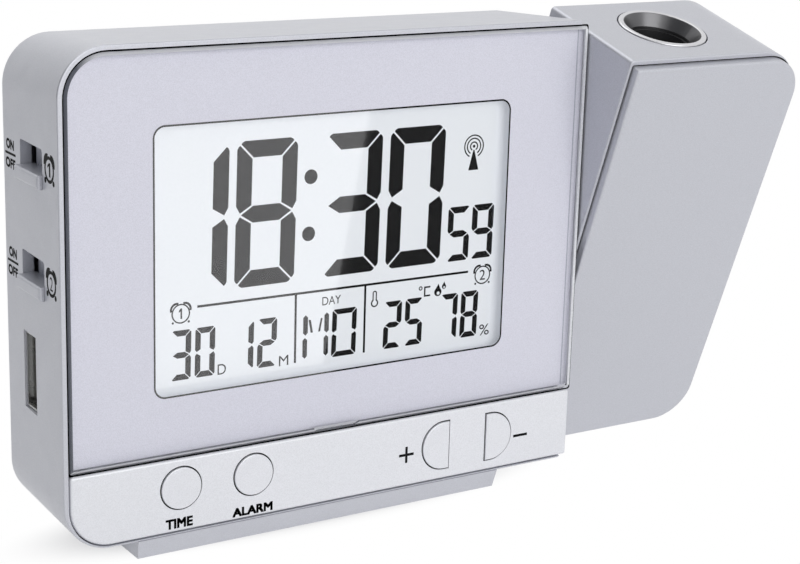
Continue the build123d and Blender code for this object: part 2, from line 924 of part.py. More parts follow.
lens_left = case_left + rim_width + plate_gap
lens_top = case_top - rim_width - plate_gap
lens_bottom = from_bottom(bar_top + lens_bar_gap)
lens_corner = front_corner - rim_width - plate_gap
window_low = (from_left(window_left), from_bottom(window_bottom))
window_high = (from_left(window_left + window_width), from_bottom(window_bottom + window_height))
film_back = lens_thickness + film_thickness
lens_stem_end = plunger_tip - lens_travel - press_gap


def lens_section(depth, inset):
    """The lens's outline at a depth behind its front, moved in by an inset on all sides but the right."""
    square = max(plate_corner - inset, inner_corner)
    radii = (square, square, square, lens_corner - inset)
    left = lens_left + inset
    return outline(case_plane(depth), left, lens_right, lens_bottom + inset, lens_top - inset, radii)


with BuildPart() as display_lens:
    loft(sections=[lens_section(0, lens_bevel), lens_section(lens_bevel, 0)], ruled=True)
    extrude(to_extrude=lens_section(lens_bevel, 0), amount=lens_bevel - lens_thickness)
    notch_low = (from_left(lens_notch_left), case_front, lens_bottom)
    notch_high = (
        from_left(lens_notch_left + lens_notch_width),
        from_front(lens_thickness),
        lens_bottom + lens_notch_height,
    )
    block(notch_low, notch_high, mode=Mode.SUBTRACT)
    pin(in_case(snooze_x, lens_thickness, snooze_z), BACK, stem_radius, lens_stem_end - lens_thickness)
    for x, side in hook_sides:
        for z in (hook_low, hook_high):
            half = hook_thickness / 2
            half_width = hook_width / 2
            block(
                in_case(x - half, lens_thickness, z - half_width),
                in_case(x + half, bulkhead_back + hook_barb_length, z + half_width),
            )
            barb = x + side * half
            barb_tip = barb + side * hook_barb
            block(
                in_case(min(barb, barb_tip), bulkhead_back, z - half_width),
                in_case(max(barb, barb_tip), bulkhead_back + hook_barb_length, z + half_width),
            )
finish(display_lens, "display_lens")

with BuildPart() as lens_print:
    film_radii = (plate_corner, plate_corner, plate_corner, lens_corner - film_inset)
    film = outline(
        case_plane(lens_thickness),
        lens_left + film_inset,
        lens_right - film_inset,
        lens_bottom + lens_notch_height + film_inset,
        lens_top - film_inset,
        film_radii,
    )
    extrude(to_extrude=film, amount=-film_thickness)
    hole_radii = (window_corner,) * 4
    film_hole = outline(
        case_plane(lens_thickness), window_low[0], window_high[0], window_low[1], window_high[1], hole_radii
    )
    extrude(to_extrude=film_hole, amount=-film_thickness, mode=Mode.SUBTRACT)
    stem_start = in_case(snooze_x, lens_thickness, snooze_z)
    pin(stem_start, BACK, stem_radius, film_thickness, mode=Mode.SUBTRACT)
    for x, side in hook_sides:
        for z in (hook_low, hook_high):
            half = hook_thickness / 2
            half_width = hook_width / 2
            block(
                in_case(x - half, lens_thickness, z - half_width),
                in_case(x + half, film_back, z + half_width),
                mode=Mode.SUBTRACT,
            )
finish(lens_print, "lens_print")

# ---------------------------------------------------------------- button bar and buttons


def d_outline(plane, flat_x, side, grow=0.0):
    """A D with its flat at flat_x; side -1 turns its round part left and 1 turns it right."""
    radius = d_button_radius + grow
    centre = flat_x + side * d_button_straight
    flat = flat_x - side * grow
    mid = from_bottom(d_button_z)
    with BuildSketch(plane) as shape:
        with BuildLine():
            Polyline(
                (from_left(centre), mid + radius),
                (from_left(flat), mid + radius),
                (from_left(flat), mid - radius),
                (from_left(centre), mid - radius),
            )
            ThreePointArc(
                (from_left(centre), mid - radius),
                (from_left(centre + side * radius), mid),
                (from_left(centre), mid + radius),
            )
        make_face()
    return shape.sketch


bar_bottom = case_bottom + rim_lip + bar_lip_gap
bar_corner = front_corner - rim_width - plate_gap
stem_end = plunger_tip - button_travel - press_gap
button_back = bar_skin + button_flange

with BuildPart() as button_bar:
    bar_radii = (bar_corner, plate_corner, plate_corner, plate_corner)
    bar_outline = outline(
        case_plane(0), lens_left, lens_right, bar_bottom, from_bottom(bar_top), bar_radii
    )
    extrude(to_extrude=bar_outline, amount=-recess_depth)
    fillet(button_bar.edges().group_by(Axis.Y)[0], bar_edge_round)
    pocket_corner = max(plate_corner - bar_skirt, inner_corner)
    pocket = outline(
        case_plane(bar_skin),
        lens_left + bar_skirt,
        lens_right - bar_skirt,
        bar_bottom + bar_skirt,
        from_bottom(bar_top - bar_skirt),
        (bar_corner - bar_skirt, pocket_corner, pocket_corner, pocket_corner),
    )
    extrude(to_extrude=pocket, amount=bar_skin - recess_depth, mode=Mode.SUBTRACT)
    for x in (time_button_x, alarm_button_x):
        hole_radius = round_button_radius + button_gap
        pin(in_case(x, 0, round_button_z), BACK, hole_radius, bar_skin, mode=Mode.SUBTRACT)
    for flat_x, side in ((plus_flat_x, -1), (minus_flat_x, 1)):
        d_hole = d_outline(case_plane(0), flat_x, side, button_gap)
        extrude(to_extrude=d_hole, amount=-bar_skin, mode=Mode.SUBTRACT)
finish(button_bar, "button_bar")

for name, x in (("time_button", time_button_x), ("alarm_button", alarm_button_x)):
    with BuildPart() as round_button:
        cap_length = bar_skin + button_proud
        pin(in_case(x, -button_proud, round_button_z), BACK, round_button_radius, cap_length)
        fillet(round_button.edges().group_by(Axis.Y)[0], button_edge_round)
        flange_start = in_case(x, bar_skin, round_button_z)
        flange = round_button_radius + button_flange_overhang
        pin(flange_start, BACK, flange, button_flange)
        pin(in_case(x, button_back, round_button_z), BACK, stem_radius, stem_end - button_back)
    finish(round_button, name)

for name, flat_x, side in (("plus_button", plus_flat_x, -1), ("minus_button", minus_flat_x, 1)):
    with BuildPart() as d_button:
        cap = d_outline(case_plane(-button_proud), flat_x, side)
        extrude(to_extrude=cap, amount=-(bar_skin + button_proud))
        fillet(d_button.edges().group_by(Axis.Y)[0], button_edge_round)
        d_flange = d_outline(case_plane(bar_skin), flat_x, side, button_flange_overhang)
        extrude(to_extrude=d_flange, amount=-button_flange)
        stem_x = flat_x + side * d_button_straight
        pin(in_case(stem_x, button_back, d_button_z), BACK, stem_radius, stem_end - button_back)
    finish(d_button, name)

# ---------------------------------------------------------------- alarm sliders, side board, charging socket

slot_back_depth = slot_front + slot_width
inner_wall_x = wall_x(slot_back_depth + shield_side) + case_wall
shield_x = inner_wall_x + shield_gap
knob_face_x = wall_x(slot_front + slot_width / 2) - knob_proud
switch_x = shield_x + shield_thickness + shield_gap
slider_travel = slot_height - knob_height - 2 * knob_gap
shield_reach = slot_height - knob_gap - knob_height / 2 + shield_overlap
side_board_front = usb_back
tab_y = side_board_front - switch_case_width / 2

for name, bottom in (("alarm_1_slider", slot_bottoms[0]), ("alarm_2_slider", slot_bottoms[1])):
    with BuildPart() as slider:
        knob_low = from_bottom(bottom + knob_gap)
        knob_mid = knob_low + knob_height / 2
        block(
            (knob_face_x, from_front(slot_front + knob_gap), knob_low),
            (shield_x, from_front(slot_back_depth - knob_gap), knob_low + knob_height),
        )
        fillet(slider.edges().group_by(Axis.X)[0], knob_round)
        shield_front = from_front(slot_front - shield_side)
        shield_back = from_front(slot_back_depth - shield_side)
        block(
            (shield_x, shield_front, knob_mid - shield_reach),
            (shield_x + shield_thickness, shield_back, knob_mid + shield_reach),
        )
        tab_half = drive_tab_width / 2
        block(
            (shield_x + shield_thickness, from_front(tab_y) - tab_half, knob_mid - tab_half),
            (switch_x + drive_tab, from_front(tab_y) + tab_half, knob_mid + tab_half),
        )
    finish(slider, name)

with BuildPart() as alarm_switches:
    for bottom in slot_bottoms:
        tab_low = from_bottom(bottom + knob_gap) + knob_height / 2 - drive_tab_width / 2
        tab_high = tab_low + drive_tab_width + slider_travel
        block(
            (switch_x, from_front(side_board_front - switch_case_width), tab_low - switch_case_margin),
            (switch_x + switch_case_depth, from_front(side_board_front), tab_high + switch_case_margin),
        )
        slot_half = drive_tab_width / 2 + switch_slot_gap
        block(
            (switch_x, from_front(tab_y) - slot_half, tab_low - switch_slot_gap),
            (
                switch_x + drive_tab + switch_slot_gap,
                from_front(tab_y) + slot_half,
                tab_high + switch_slot_gap,
            ),
            mode=Mode.SUBTRACT,
        )
finish(alarm_switches, "alarm_switches")

usb_mouth_x = wall_x(usb_back - usb_thickness / 2) + usb_mouth_inset
usb_end_x = usb_mouth_x + usb_length
side_board_low = usb_bottom - side_board_margin
side_board_high = slot_1_bottom + slot_height + side_board_margin

with BuildPart() as side_board:
    block(
        (inner_wall_x + side_board_left_gap, from_front(side_board_front), from_bottom(side_board_low)),
        in_case(side_board_right, side_board_back, side_board_high),
    )
    for x, z in side_post_places:
        hole_start = in_case(x, side_board_front, z)
        pin(hole_start, BACK, screw_radius + screw_hole_gap, side_board_thickness, mode=Mode.SUBTRACT)
finish(side_board, "side_board")

usb_front = usb_back - usb_thickness
usb_top = usb_bottom + usb_width

with BuildPart() as usb_socket:
    block(
        (usb_mouth_x, from_front(usb_front), from_bottom(usb_bottom)),
        (usb_end_x, from_front(usb_back), from_bottom(usb_top)),
    )
    block(
        (usb_mouth_x, from_front(usb_front + usb_shell), from_bottom(usb_bottom + usb_shell)),
        (usb_end_x - usb_shell, from_front(usb_back - usb_shell), from_bottom(usb_top - usb_shell)),
        mode=Mode.SUBTRACT,
    )
finish(usb_socket, "usb_socket")

with BuildPart() as usb_tongue:
    usb_mid_z = from_bottom(usb_bottom + usb_width / 2)
    tongue_y = from_front(usb_back - usb_thickness / 2) + tongue_offset
    block(
        (usb_mouth_x + tongue_setback, tongue_y - tongue_thickness / 2, usb_mid_z - tongue_width / 2),
        (usb_end_x - usb_shell, tongue_y + tongue_thickness / 2, usb_mid_z + tongue_width / 2),
    )
    block(
        (
            usb_end_x - usb_shell - tongue_base,
            from_front(usb_front + usb_shell),
            from_bottom(usb_bottom + usb_shell),
        ),
        (usb_end_x - usb_shell, from_front(usb_back - usb_shell), from_bottom(usb_top - usb_shell)),
    )
finish(usb_tongue, "usb_tongue")

# ---------------------------------------------------------------- swivel

washer_x = case_right - case_wall - washer_thickness
clip_x = washer_x - clip_thickness
shaft_start = clip_x - shaft_end + clip_thickness
flange_x = arm_left + arm_wall

with BuildPart() as swivel_shaft:
    pin((shaft_start, pivot_y, pivot_z), RIGHT, shaft_radius, flange_x - shaft_start)
    pin((flange_x, pivot_y, pivot_z), RIGHT, flange_radius, flange_thickness)
    groove_radius = shaft_radius - clip_groove
    with BuildSketch(Plane(origin=(clip_x, pivot_y, pivot_z), z_dir=RIGHT)):
        Circle(shaft_radius)
        Circle(groove_radius, mode=Mode.SUBTRACT)
    extrude(amount=clip_thickness, mode=Mode.SUBTRACT)
    whole_length = flange_x + flange_thickness - shaft_start
    pin((shaft_start, pivot_y, pivot_z), RIGHT, shaft_bore, whole_length, mode=Mode.SUBTRACT)
finish(swivel_shaft, "swivel_shaft")

with BuildPart() as swivel_clip:
    with BuildSketch(Plane(origin=(clip_x, pivot_y, pivot_z), x_dir=BACK, z_dir=RIGHT)):
        Circle(clip_radius)
        Circle(groove_radius, mode=Mode.SUBTRACT)
        with Locations((0, -clip_radius / 2)):
            Rectangle(clip_mouth, clip_radius, mode=Mode.SUBTRACT)
    extrude(amount=clip_thickness)
finish(swivel_clip, "swivel_clip")

with BuildPart() as friction_washer:
    pin((washer_x, pivot_y, pivot_z), RIGHT, washer_radius, washer_thickness)
    washer_bore = shaft_radius + shaft_running_gap
    pin((washer_x, pivot_y, pivot_z), RIGHT, washer_bore, washer_thickness, mode=Mode.SUBTRACT)
finish(friction_washer, "friction_washer")

lead_start = from_left(lead_socket_x) + lead_socket_length
lead_end = arm_left + arm_wall + flange_thickness + lead_reach - lead_end_gap

with BuildPart() as projector_lead:
    pin((lead_start, pivot_y, pivot_z), RIGHT, lead_radius, lead_end - lead_start)
finish(projector_lead, "projector_lead")

with BuildPart() as case_lead_socket:
    block(
        (from_left(lead_socket_x), from_front(board_back), pivot_z - lead_socket_width / 2),
        (lead_start, pivot_y + lead_socket_wall, pivot_z + lead_socket_width / 2),
    )
finish(case_lead_socket, "case_lead_socket")

# ---------------------------------------------------------------- projector arm


def arm_section(back, inset=0.0):
    """The arm's outline at a distance behind the pivot, moved in by an inset."""
    share = (back + arm_front) / arm_depth
    top = arm_top - arm_top_drop * share - inset
    bottom = -arm_bottom + arm_bottom_rise * share + inset
    shrink = arm_back_shrink * share + inset
    square = max(arm_left_corner - inset, inner_corner)
    radii = (square, arm_bottom_corner - shrink, arm_top_corner - shrink, square)
    return outline(arm_plane(back), arm_left + inset, arm_right - inset, bottom, top, radii)


def pocket_section(inset=0.0):
    """Outline of the pocket for the front cover, in the housing's front plane, moved in by an inset."""
    left = arm_left + arm_rim + inset
    right = arm_right - arm_rim - inset
    bottom = arm_rim + inset - arm_bottom
    top = arm_top - arm_top_ledge - arm_rim - inset
    corner = arm_pocket_corner - inset
    radii = (inner_corner, corner, corner, inner_corner)
    return outline(arm_plane(-arm_front), left, right, bottom, top, radii)


arm_post_places = [
    (arm_post_left, arm_post_low),
    (arm_width - arm_post_right, arm_post_low),
    (arm_post_left, arm_post_high_left),
    (arm_width - arm_post_right, arm_post_high_right),
]
board_right_x = arm_board_left + arm_board_width
arm_board_post_places = [
    (arm_board_left + arm_board_post_inset, arm_board_bottom + arm_board_post_inset),
    (board_right_x - arm_board_post_inset, arm_board_bottom + arm_board_post_inset),
    (board_right_x - arm_board_post_inset, arm_board_top - arm_board_post_inset),
]
arm_board_rear = arm_board_back + arm_board_thickness
cover_seat = arm_pocket_depth - arm_front
cover_hollow_front = cover_seat - arm_cover_hollow
tube_top = ring_depth + ring_play

with BuildPart() as arm_housing:
    loft(sections=[arm_section(-arm_front), arm_section(arm_back)], ruled=True)
    arm_axis = Axis(origin=(0, pivot_y, pivot_z), direction=ARM_BACK)
    fillet(arm_housing.edges().group_by(arm_axis)[0], arm_edge_round)
    fillet(arm_housing.edges().group_by(arm_axis)[-1], arm_edge_round)
    extrude(to_extrude=pocket_section(), amount=-arm_pocket_depth, mode=Mode.SUBTRACT)
    hollow = [arm_section(cover_seat, arm_wall), arm_section(arm_inner_back, arm_wall)]
    loft(sections=hollow, ruled=True, mode=Mode.SUBTRACT)
    # Posts for the board, and for the lugs of the optics tube
    for x, up in arm_board_post_places:
        pin(in_arm(x, arm_board_rear, up), ARM_BACK, arm_board_post_radius, arm_inner_back - arm_board_rear)
    for side in (-1, 1):
        lug_post = on_optic(side * lug_spread, 0, arm_wall / 2)
        pin(lug_post, OPTIC_DOWN, lug_radius, tube_top - arm_wall / 2)
    for x, up in arm_board_post_places:
        hole_start = in_arm(x, arm_board_rear, up)
        hole_depth = arm_inner_back - arm_board_rear
        pin(hole_start, ARM_BACK, screw_radius + screw_hole_gap, hole_depth, mode=Mode.SUBTRACT)
    for side in (-1, 1):
        lug_hole = on_optic(side * lug_spread, 0, tube_top)
        pin(lug_hole, OPTIC_UP, screw_radius + screw_hole_gap, tube_top - arm_wall, mode=Mode.SUBTRACT)
    # Hole for the focus ring
    ring_hole_start = on_optic(0, 0, -ring_proud)
    pin(ring_hole_start, OPTIC_DOWN, ring_hole_radius, arm_wall + 2 * ring_proud, mode=Mode.SUBTRACT)
    # Hole for the swivel shaft
    pin((arm_left, pivot_y, pivot_z), RIGHT, shaft_radius, arm_wall, mode=Mode.SUBTRACT)
    # Holes for the cover's screws, with a seat for each head
    for x, up in arm_post_places:
        outside = in_arm(x, arm_back, up)
        pin(outside, ARM_FRONT, screw_radius + screw_hole_gap, arm_wall, mode=Mode.SUBTRACT)
        pin(outside, ARM_FRONT, screw_head_radius + screw_hole_gap, screw_head, mode=Mode.SUBTRACT)
finish(arm_housing, "arm_housing")

with BuildPart() as arm_front_cover:
    cover_outline = pocket_section(arm_cover_gap)
    extrude(to_extrude=cover_outline, amount=arm_cover_proud)
    fillet(arm_front_cover.edges().group_by(arm_axis)[0], arm_cover_round)
    extrude(to_extrude=cover_outline, amount=-arm_pocket_depth)
    cover_hollow = arm_section(cover_seat, arm_wall)
    extrude(to_extrude=cover_hollow, amount=arm_cover_hollow, mode=Mode.SUBTRACT)
    for x, up in arm_post_places:
        post_start = in_arm(x, cover_hollow_front, up)
        pin(post_start, ARM_BACK, arm_post_radius, arm_inner_back - cover_hollow_front)
    for x, up in arm_post_places:
        hole_start = in_arm(x, arm_inner_back, up)
        pin(hole_start, ARM_FRONT, screw_radius + screw_hole_gap, screw_length, mode=Mode.SUBTRACT)
finish(arm_front_cover, "arm_front_cover")

with BuildPart() as arm_screws:
    for x, up in arm_post_places:
        screw(in_arm(x, arm_back - screw_head, up), ARM_FRONT, screw_length)
finish(arm_screws, "arm_screws")

with BuildPart() as arm_board:
    arm_board_outline = outline(
        arm_plane(arm_board_back),
        arm_left + arm_board_left,
        arm_left + board_right_x,
        arm_board_bottom,
        arm_board_top,
        (inner_corner,) * 4,
    )
    extrude(to_extrude=arm_board_outline, amount=-arm_board_thickness)
    for x, up in arm_board_post_places:
        hole_start = in_arm(x, arm_board_back, up)
        pin(hole_start, ARM_BACK, screw_radius + screw_hole_gap, arm_board_thickness, mode=Mode.SUBTRACT)
finish(arm_board, "arm_board")

with BuildPart() as arm_board_screws:
    for x, up in arm_board_post_places:
        screw(in_arm(x, arm_board_back, up), ARM_BACK, small_screw_length)
finish(arm_board_screws, "arm_board_screws")

socket_left = lead_end + lead_end_gap - arm_left

with BuildPart() as arm_lead_socket:
    socket_outline = outline(
        arm_plane(-lead_socket_wall),
        arm_left + socket_left,
        arm_left + socket_left + lead_socket_length,
        arm_board_top - lead_socket_width,
        arm_board_top - inner_corner,
        (inner_corner,) * 4,
    )
    extrude(to_extrude=socket_outline, amount=-(arm_board_back + lead_socket_wall))
finish(arm_lead_socket, "arm_lead_socket")

# ---------------------------------------------------------------- optics

# Upright plane through the optical axis: its x is the distance from the axis, its y runs up the axis.
optic_profile = Plane(origin=optic_origin, x_dir=RIGHT, z_dir=OPTIC_BACK * -1)
optic_axis = Axis(origin=optic_origin, direction=OPTIC_UP)
bore_radius = barrel_radius + barrel_gap
flange_top = arm_wall + ring_play
flange_bottom = flange_top + ring_flange_thickness

with BuildPart() as focus_ring:
    with BuildSketch(optic_profile):
        Polygon(
            (ring_mouth_radius, ring_proud),
            (ring_radius, ring_proud),
            (ring_radius, -flange_top),
            (ring_flange_radius, -flange_top),
            (ring_flange_radius, -flange_bottom),
            (ring_radius, -flange_bottom),
            (ring_radius, -ring_depth),
            (bore_radius, -ring_depth),
            (bore_radius, -ring_cone_depth),
            align=None,
        )
    revolve(axis=optic_axis)
    lip = focus_ring.edges().group_by(optic_axis)[-1]
    fillet(lip, ring_lip_round)
finish(focus_ring, "focus_ring")

barrel_bottom = barrel_top + barrel_length
seat_floor = barrel_top + lens_seat_depth

with BuildPart() as lens_barrel:
    with BuildSketch(optic_profile):
        Polygon(
            (barrel_radius, -barrel_top),
            (barrel_radius, -barrel_bottom),
            (barrel_radius - barrel_wall, -barrel_bottom),
            (barrel_radius - barrel_wall, -seat_floor),
            (barrel_radius - lens_seat_wall, -seat_floor),
            (barrel_radius - lens_seat_wall, -barrel_top),
            align=None,
        )
    revolve(axis=optic_axis)
finish(lens_barrel, "lens_barrel")


def lens_profile(radius, bottom, edge, bulge):
    """Half of a plano-convex lens beside the optical axis; its flat side lies at the bottom depth."""
    rise = bottom - edge
    half = radius / 2
    # A circle through the rim and the crown gives the height above the rim at half the radius.
    sphere = (radius**2 + bulge**2) / (2 * bulge)
    mid_rise = bulge - sphere + (sphere**2 - half**2) ** 0.5
    with BuildSketch(optic_profile) as shape:
        with BuildLine():
            Polyline((0, -rise + bulge), (0, -bottom), (radius, -bottom), (radius, -rise))
            ThreePointArc((radius, -rise), (half, -rise + mid_rise), (0, -rise + bulge))
        make_face()
    return shape.sketch


with BuildPart() as projection_lens:
    seat_radius = barrel_radius - lens_seat_wall
    half_lens = lens_profile(seat_radius, seat_floor, projection_lens_edge, projection_lens_bulge)
    revolve(half_lens, axis=optic_axis)
finish(projection_lens, "projection_lens")

tube_radius = bore_radius + tube_wall

with BuildPart() as optics_tube:
    pin(on_optic(0, 0, tube_top), OPTIC_DOWN, tube_radius, tube_bottom - tube_top)
    with BuildSketch(optic_plane(tube_bottom)):
        Rectangle(tube_flange_size, tube_flange_size)
    extrude(amount=tube_flange_thickness)
    with BuildSketch(optic_plane(tube_top)):
        SlotOverall(2 * lug_spread + 2 * lug_radius, 2 * lug_radius)
    extrude(amount=-lug_thickness)
    pin(on_optic(0, 0, tube_top), OPTIC_DOWN, bore_radius, tube_bottom - tube_top, mode=Mode.SUBTRACT)
    for side in (-1, 1):
        lug_hole = on_optic(side * lug_spread, 0, tube_top)
        pin(lug_hole, OPTIC_DOWN, screw_radius + screw_hole_gap, lug_thickness, mode=Mode.SUBTRACT)
finish(optics_tube, "optics_tube")

with BuildPart() as optics_screws:
    for side in (-1, 1):
        screw(on_optic(side * lug_spread, 0, tube_top + lug_thickness), OPTIC_UP, small_screw_length)
finish(optics_screws, "optics_screws")

slide_bottom = tube_bottom + slide_thickness

with BuildPart() as lamp_housing:
    with BuildSketch(optic_plane(tube_bottom)):
        Rectangle(tube_flange_size, tube_flange_size)
    extrude(amount=tube_bottom - lamp_housing_bottom)
    with BuildSketch(optic_plane(tube_bottom)):
        Rectangle(slide_size + 2 * slide_gap, slide_size + 2 * slide_gap)
    extrude(amount=-slide_thickness, mode=Mode.SUBTRACT)
    condenser_seat = condenser_top + condenser_bulge + condenser_edge
    upper_bore = condenser_seat - slide_bottom
    pin(on_optic(0, 0, slide_bottom), OPTIC_DOWN, condenser_radius, upper_bore, mode=Mode.SUBTRACT)
    lower_bore = lamp_housing_bottom - condenser_seat
    lower_start = on_optic(0, 0, condenser_seat)
    pin(lower_start, OPTIC_DOWN, condenser_radius - lens_seat_wall, lower_bore, mode=Mode.SUBTRACT)
finish(lamp_housing, "lamp_housing")

with BuildPart() as projector_lcd:
    with BuildSketch(optic_plane(tube_bottom)):
        Rectangle(slide_size, slide_size)
    extrude(amount=-slide_thickness)
finish(projector_lcd, "projector_lcd")

with BuildPart() as condenser_lens:
    half_condenser = lens_profile(condenser_radius, condenser_seat, condenser_edge, condenser_bulge)
    revolve(half_condenser, axis=optic_axis)
finish(condenser_lens, "condenser_lens")

with BuildPart() as lamp_board:
    with BuildSketch(optic_plane(lamp_housing_bottom)):
        Rectangle(lamp_board_size, lamp_board_size)
    extrude(amount=-lamp_board_thickness)
finish(lamp_board, "lamp_board")

with BuildPart() as projector_lamp:
    lamp_body = lamp_height - lamp_radius
    pin(on_optic(0, 0, lamp_housing_bottom), OPTIC_UP, lamp_radius, lamp_body)
    with Locations(on_optic(0, 0, lamp_housing_bottom - lamp_body)):
        Sphere(lamp_radius)
    split(bisect_by=optic_plane(lamp_housing_bottom), keep=Keep.TOP)
finish(projector_lamp, "projector_lamp")
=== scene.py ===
"""Projection alarm clock: finishes, display contents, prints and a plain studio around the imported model.

Places on the case are in millimetres from its left edge, its front and its underside, as in in_case().
"""

import json
import math

import bmesh
import bpy
from mathutils import Matrix, Vector


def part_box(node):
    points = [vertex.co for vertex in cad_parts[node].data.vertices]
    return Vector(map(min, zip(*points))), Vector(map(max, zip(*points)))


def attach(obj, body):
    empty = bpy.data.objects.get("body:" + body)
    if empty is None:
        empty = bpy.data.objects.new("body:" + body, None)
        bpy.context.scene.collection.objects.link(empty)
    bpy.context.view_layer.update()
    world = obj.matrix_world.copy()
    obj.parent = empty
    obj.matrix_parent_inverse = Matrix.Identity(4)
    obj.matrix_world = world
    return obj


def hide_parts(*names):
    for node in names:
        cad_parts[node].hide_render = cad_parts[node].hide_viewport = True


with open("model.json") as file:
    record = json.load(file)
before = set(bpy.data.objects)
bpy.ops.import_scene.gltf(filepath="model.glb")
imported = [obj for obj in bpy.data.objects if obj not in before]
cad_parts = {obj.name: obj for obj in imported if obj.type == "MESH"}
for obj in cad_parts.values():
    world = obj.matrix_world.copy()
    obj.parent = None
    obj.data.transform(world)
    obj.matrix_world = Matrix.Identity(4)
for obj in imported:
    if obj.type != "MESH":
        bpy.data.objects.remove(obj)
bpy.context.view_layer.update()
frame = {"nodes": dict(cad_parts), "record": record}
NODES = frame["nodes"]
MM = 0.001


def linked(name, data):
    """A mesh, curve, lamp or camera as an object in the scene."""
    thing = bpy.data.objects.new(name, data)
    bpy.context.scene.collection.objects.link(thing)
    return thing


# ---------------------------------------------------------------- camera

CAMERA_PLACE = Vector((-0.16111, -0.28604, 0.12908))
CAMERA_AZIMUTH = 32.7013
CAMERA_ELEVATION = -14.8542
CAMERA_ROLL = 1.6909
CAMERA_LENS = 85.319
SENSOR_WIDTH = 36.0


def add_camera():
    data = bpy.data.cameras.new("camera")
    data.sensor_width = SENSOR_WIDTH
    data.lens = CAMERA_LENS
    camera = linked("camera", data)
    heading = Matrix.Rotation(-math.radians(CAMERA_AZIMUTH), 4, "Z")
    tilt = Matrix.Rotation(math.radians(90 + CAMERA_ELEVATION), 4, "X")
    roll = Matrix.Rotation(math.radians(CAMERA_ROLL), 4, "Z")
    camera.matrix_world = Matrix.Translation(CAMERA_PLACE) @ heading @ tilt @ roll
    bpy.context.scene.camera = camera


add_camera()

# ---------------------------------------------------------------- places

case_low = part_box("front_housing")[0]
CASE_DEPTH = 27.0
LEFT_DRAFT = 1.2


def in_case(x, y, z):
    """A point in metres, from millimetres right of, behind and above the case's left front bottom corner."""
    return case_low + Vector((x, y, z)) * MM


def face(origin, right, up):
    """Matrix from millimetres on a face (right, up, out of the face) to metres in the frame."""
    right = Vector(right).normalized()
    up = Vector(up).normalized()
    out = right.cross(up)
    turn = Matrix((right, up, out)).transposed().to_4x4()
    return Matrix.Translation(origin) @ turn @ Matrix.Scale(MM, 4)


def front_face(depth):
    """The upright plane at a depth behind the case's front, seen from the user."""
    return face(in_case(0, depth, 0), (1, 0, 0), (0, 0, 1))


# On the left wall, right is towards the front, and places count from the wall's front edge.
LEFT_WALL = face(in_case(0, 0, 0), (-LEFT_DRAFT, -CASE_DEPTH, 0), (0, 0, 1))

# ---------------------------------------------------------------- finishes

GRAIN_RANGE = (0.3, 0.7)


class Finish:
    """A material with its Principled shader, and short calls that add nodes to it."""

    def __init__(self, name, **sockets):
        self.material = bpy.data.materials.new(name)
        self.material.use_nodes = True
        self.tree = self.material.node_tree
        self.shader = self.tree.nodes["Principled BSDF"]
        self.output = self.tree.nodes["Material Output"]
        self.place = self.add("ShaderNodeTexCoord").outputs["Object"]
        self.fill(self.shader, sockets)

    @staticmethod
    def fill(node, values):
        """Set a node's sockets, whose names have _ for a space."""
        for socket, value in values.items():
            node.inputs[socket.replace("_", " ")].default_value = value

    def add(self, kind, operation=None, **values):
        node = self.tree.nodes.new(kind)
        if operation:
            node.operation = operation
        self.fill(node, values)
        return node

    def link(self, start, end):
        self.tree.links.new(start, end)

    def vector(self, start, operation, other=None):
        """Vector arithmetic on an output, with a constant where the operation takes one."""
        node = self.add("ShaderNodeVectorMath", operation)
        if other is not None:
            node.inputs[1].default_value = other
        self.link(start, node.inputs[0])
        return node

    def ramp(self, value, low, high, **values):
        """Map a value between two limits to a share, or to other ends."""
        ramp = self.add("ShaderNodeMapRange", From_Min=low, From_Max=high, **values)
        self.link(value, ramp.inputs["Value"])
        return ramp

    def either(self, first, second):
        """Show a first shader, and a second one by the factor whose socket is returned."""
        mix = self.add("ShaderNodeMixShader")
        self.link(first, mix.inputs[1])
        self.link(second, mix.inputs[2])
        self.link(mix.outputs["Shader"], self.output.inputs["Surface"])
        return mix.inputs["Fac"]

    def noise(self, size, detail=2.0, stretch=(1, 1, 1)):
        """Noise whose grains are about this many millimetres across."""
        mapping = self.add("ShaderNodeMapping", Scale=stretch)
        self.link(self.place, mapping.inputs["Vector"])
        noise = self.add("ShaderNodeTexNoise", Scale=1 / (size * MM), Detail=detail)
        self.link(mapping.outputs["Vector"], noise.inputs["Vector"])
        return noise.outputs["Fac"]

    def spread(self, factor, low, high, socket):
        """Drive a socket between two values by a factor."""
        ramp = self.ramp(factor, *GRAIN_RANGE, To_Min=low, To_Max=high)
        self.link(ramp.outputs["Result"], self.shader.inputs[socket])

    def colors(self, factor, dark, light):
        """Mix the base colour between two colours by a factor."""
        ramp = self.add("ShaderNodeValToRGB")
        for stop, position, color in zip(ramp.color_ramp.elements, GRAIN_RANGE, (dark, light)):
            stop.position = position
            stop.color = (*color, 1)
        self.link(factor, ramp.inputs["Fac"])
        self.link(ramp.outputs["Color"], self.shader.inputs["Base Color"])

    def bump(self, factor, height):
        """Raise the surface by up to a height in millimetres."""
        bump = self.add("ShaderNodeBump", Distance=height * MM)
        self.link(factor, bump.inputs["Height"])
        self.link(bump.outputs["Normal"], self.shader.inputs["Normal"])


def tint(color, factor):
    return tuple(min(1.0, channel * factor) for channel in color)


GLOSS_GRAINS = 6
GLOSS_SPREAD = 0.1
FLAKE_SIZE = 0.16
FLAKE_SPREAD = 0.07
FLAKE_HEIGHT = 0.003
PAINT_GLOSS_SIZE = 3.0
PAINT_GLOSS_SPREAD = 0.08


def grained(finish, grains, color, spread, height, gloss, roughness, gloss_spread):
    """Grain in a finish's colour and surface, and slower changes in its gloss."""
    finish.colors(grains, tint(color, 1 - spread), tint(color, 1 + spread))
    finish.spread(gloss, roughness * (1 - gloss_spread), roughness * (1 + gloss_spread), "Roughness")
    finish.bump(grains, height)
    return finish.material


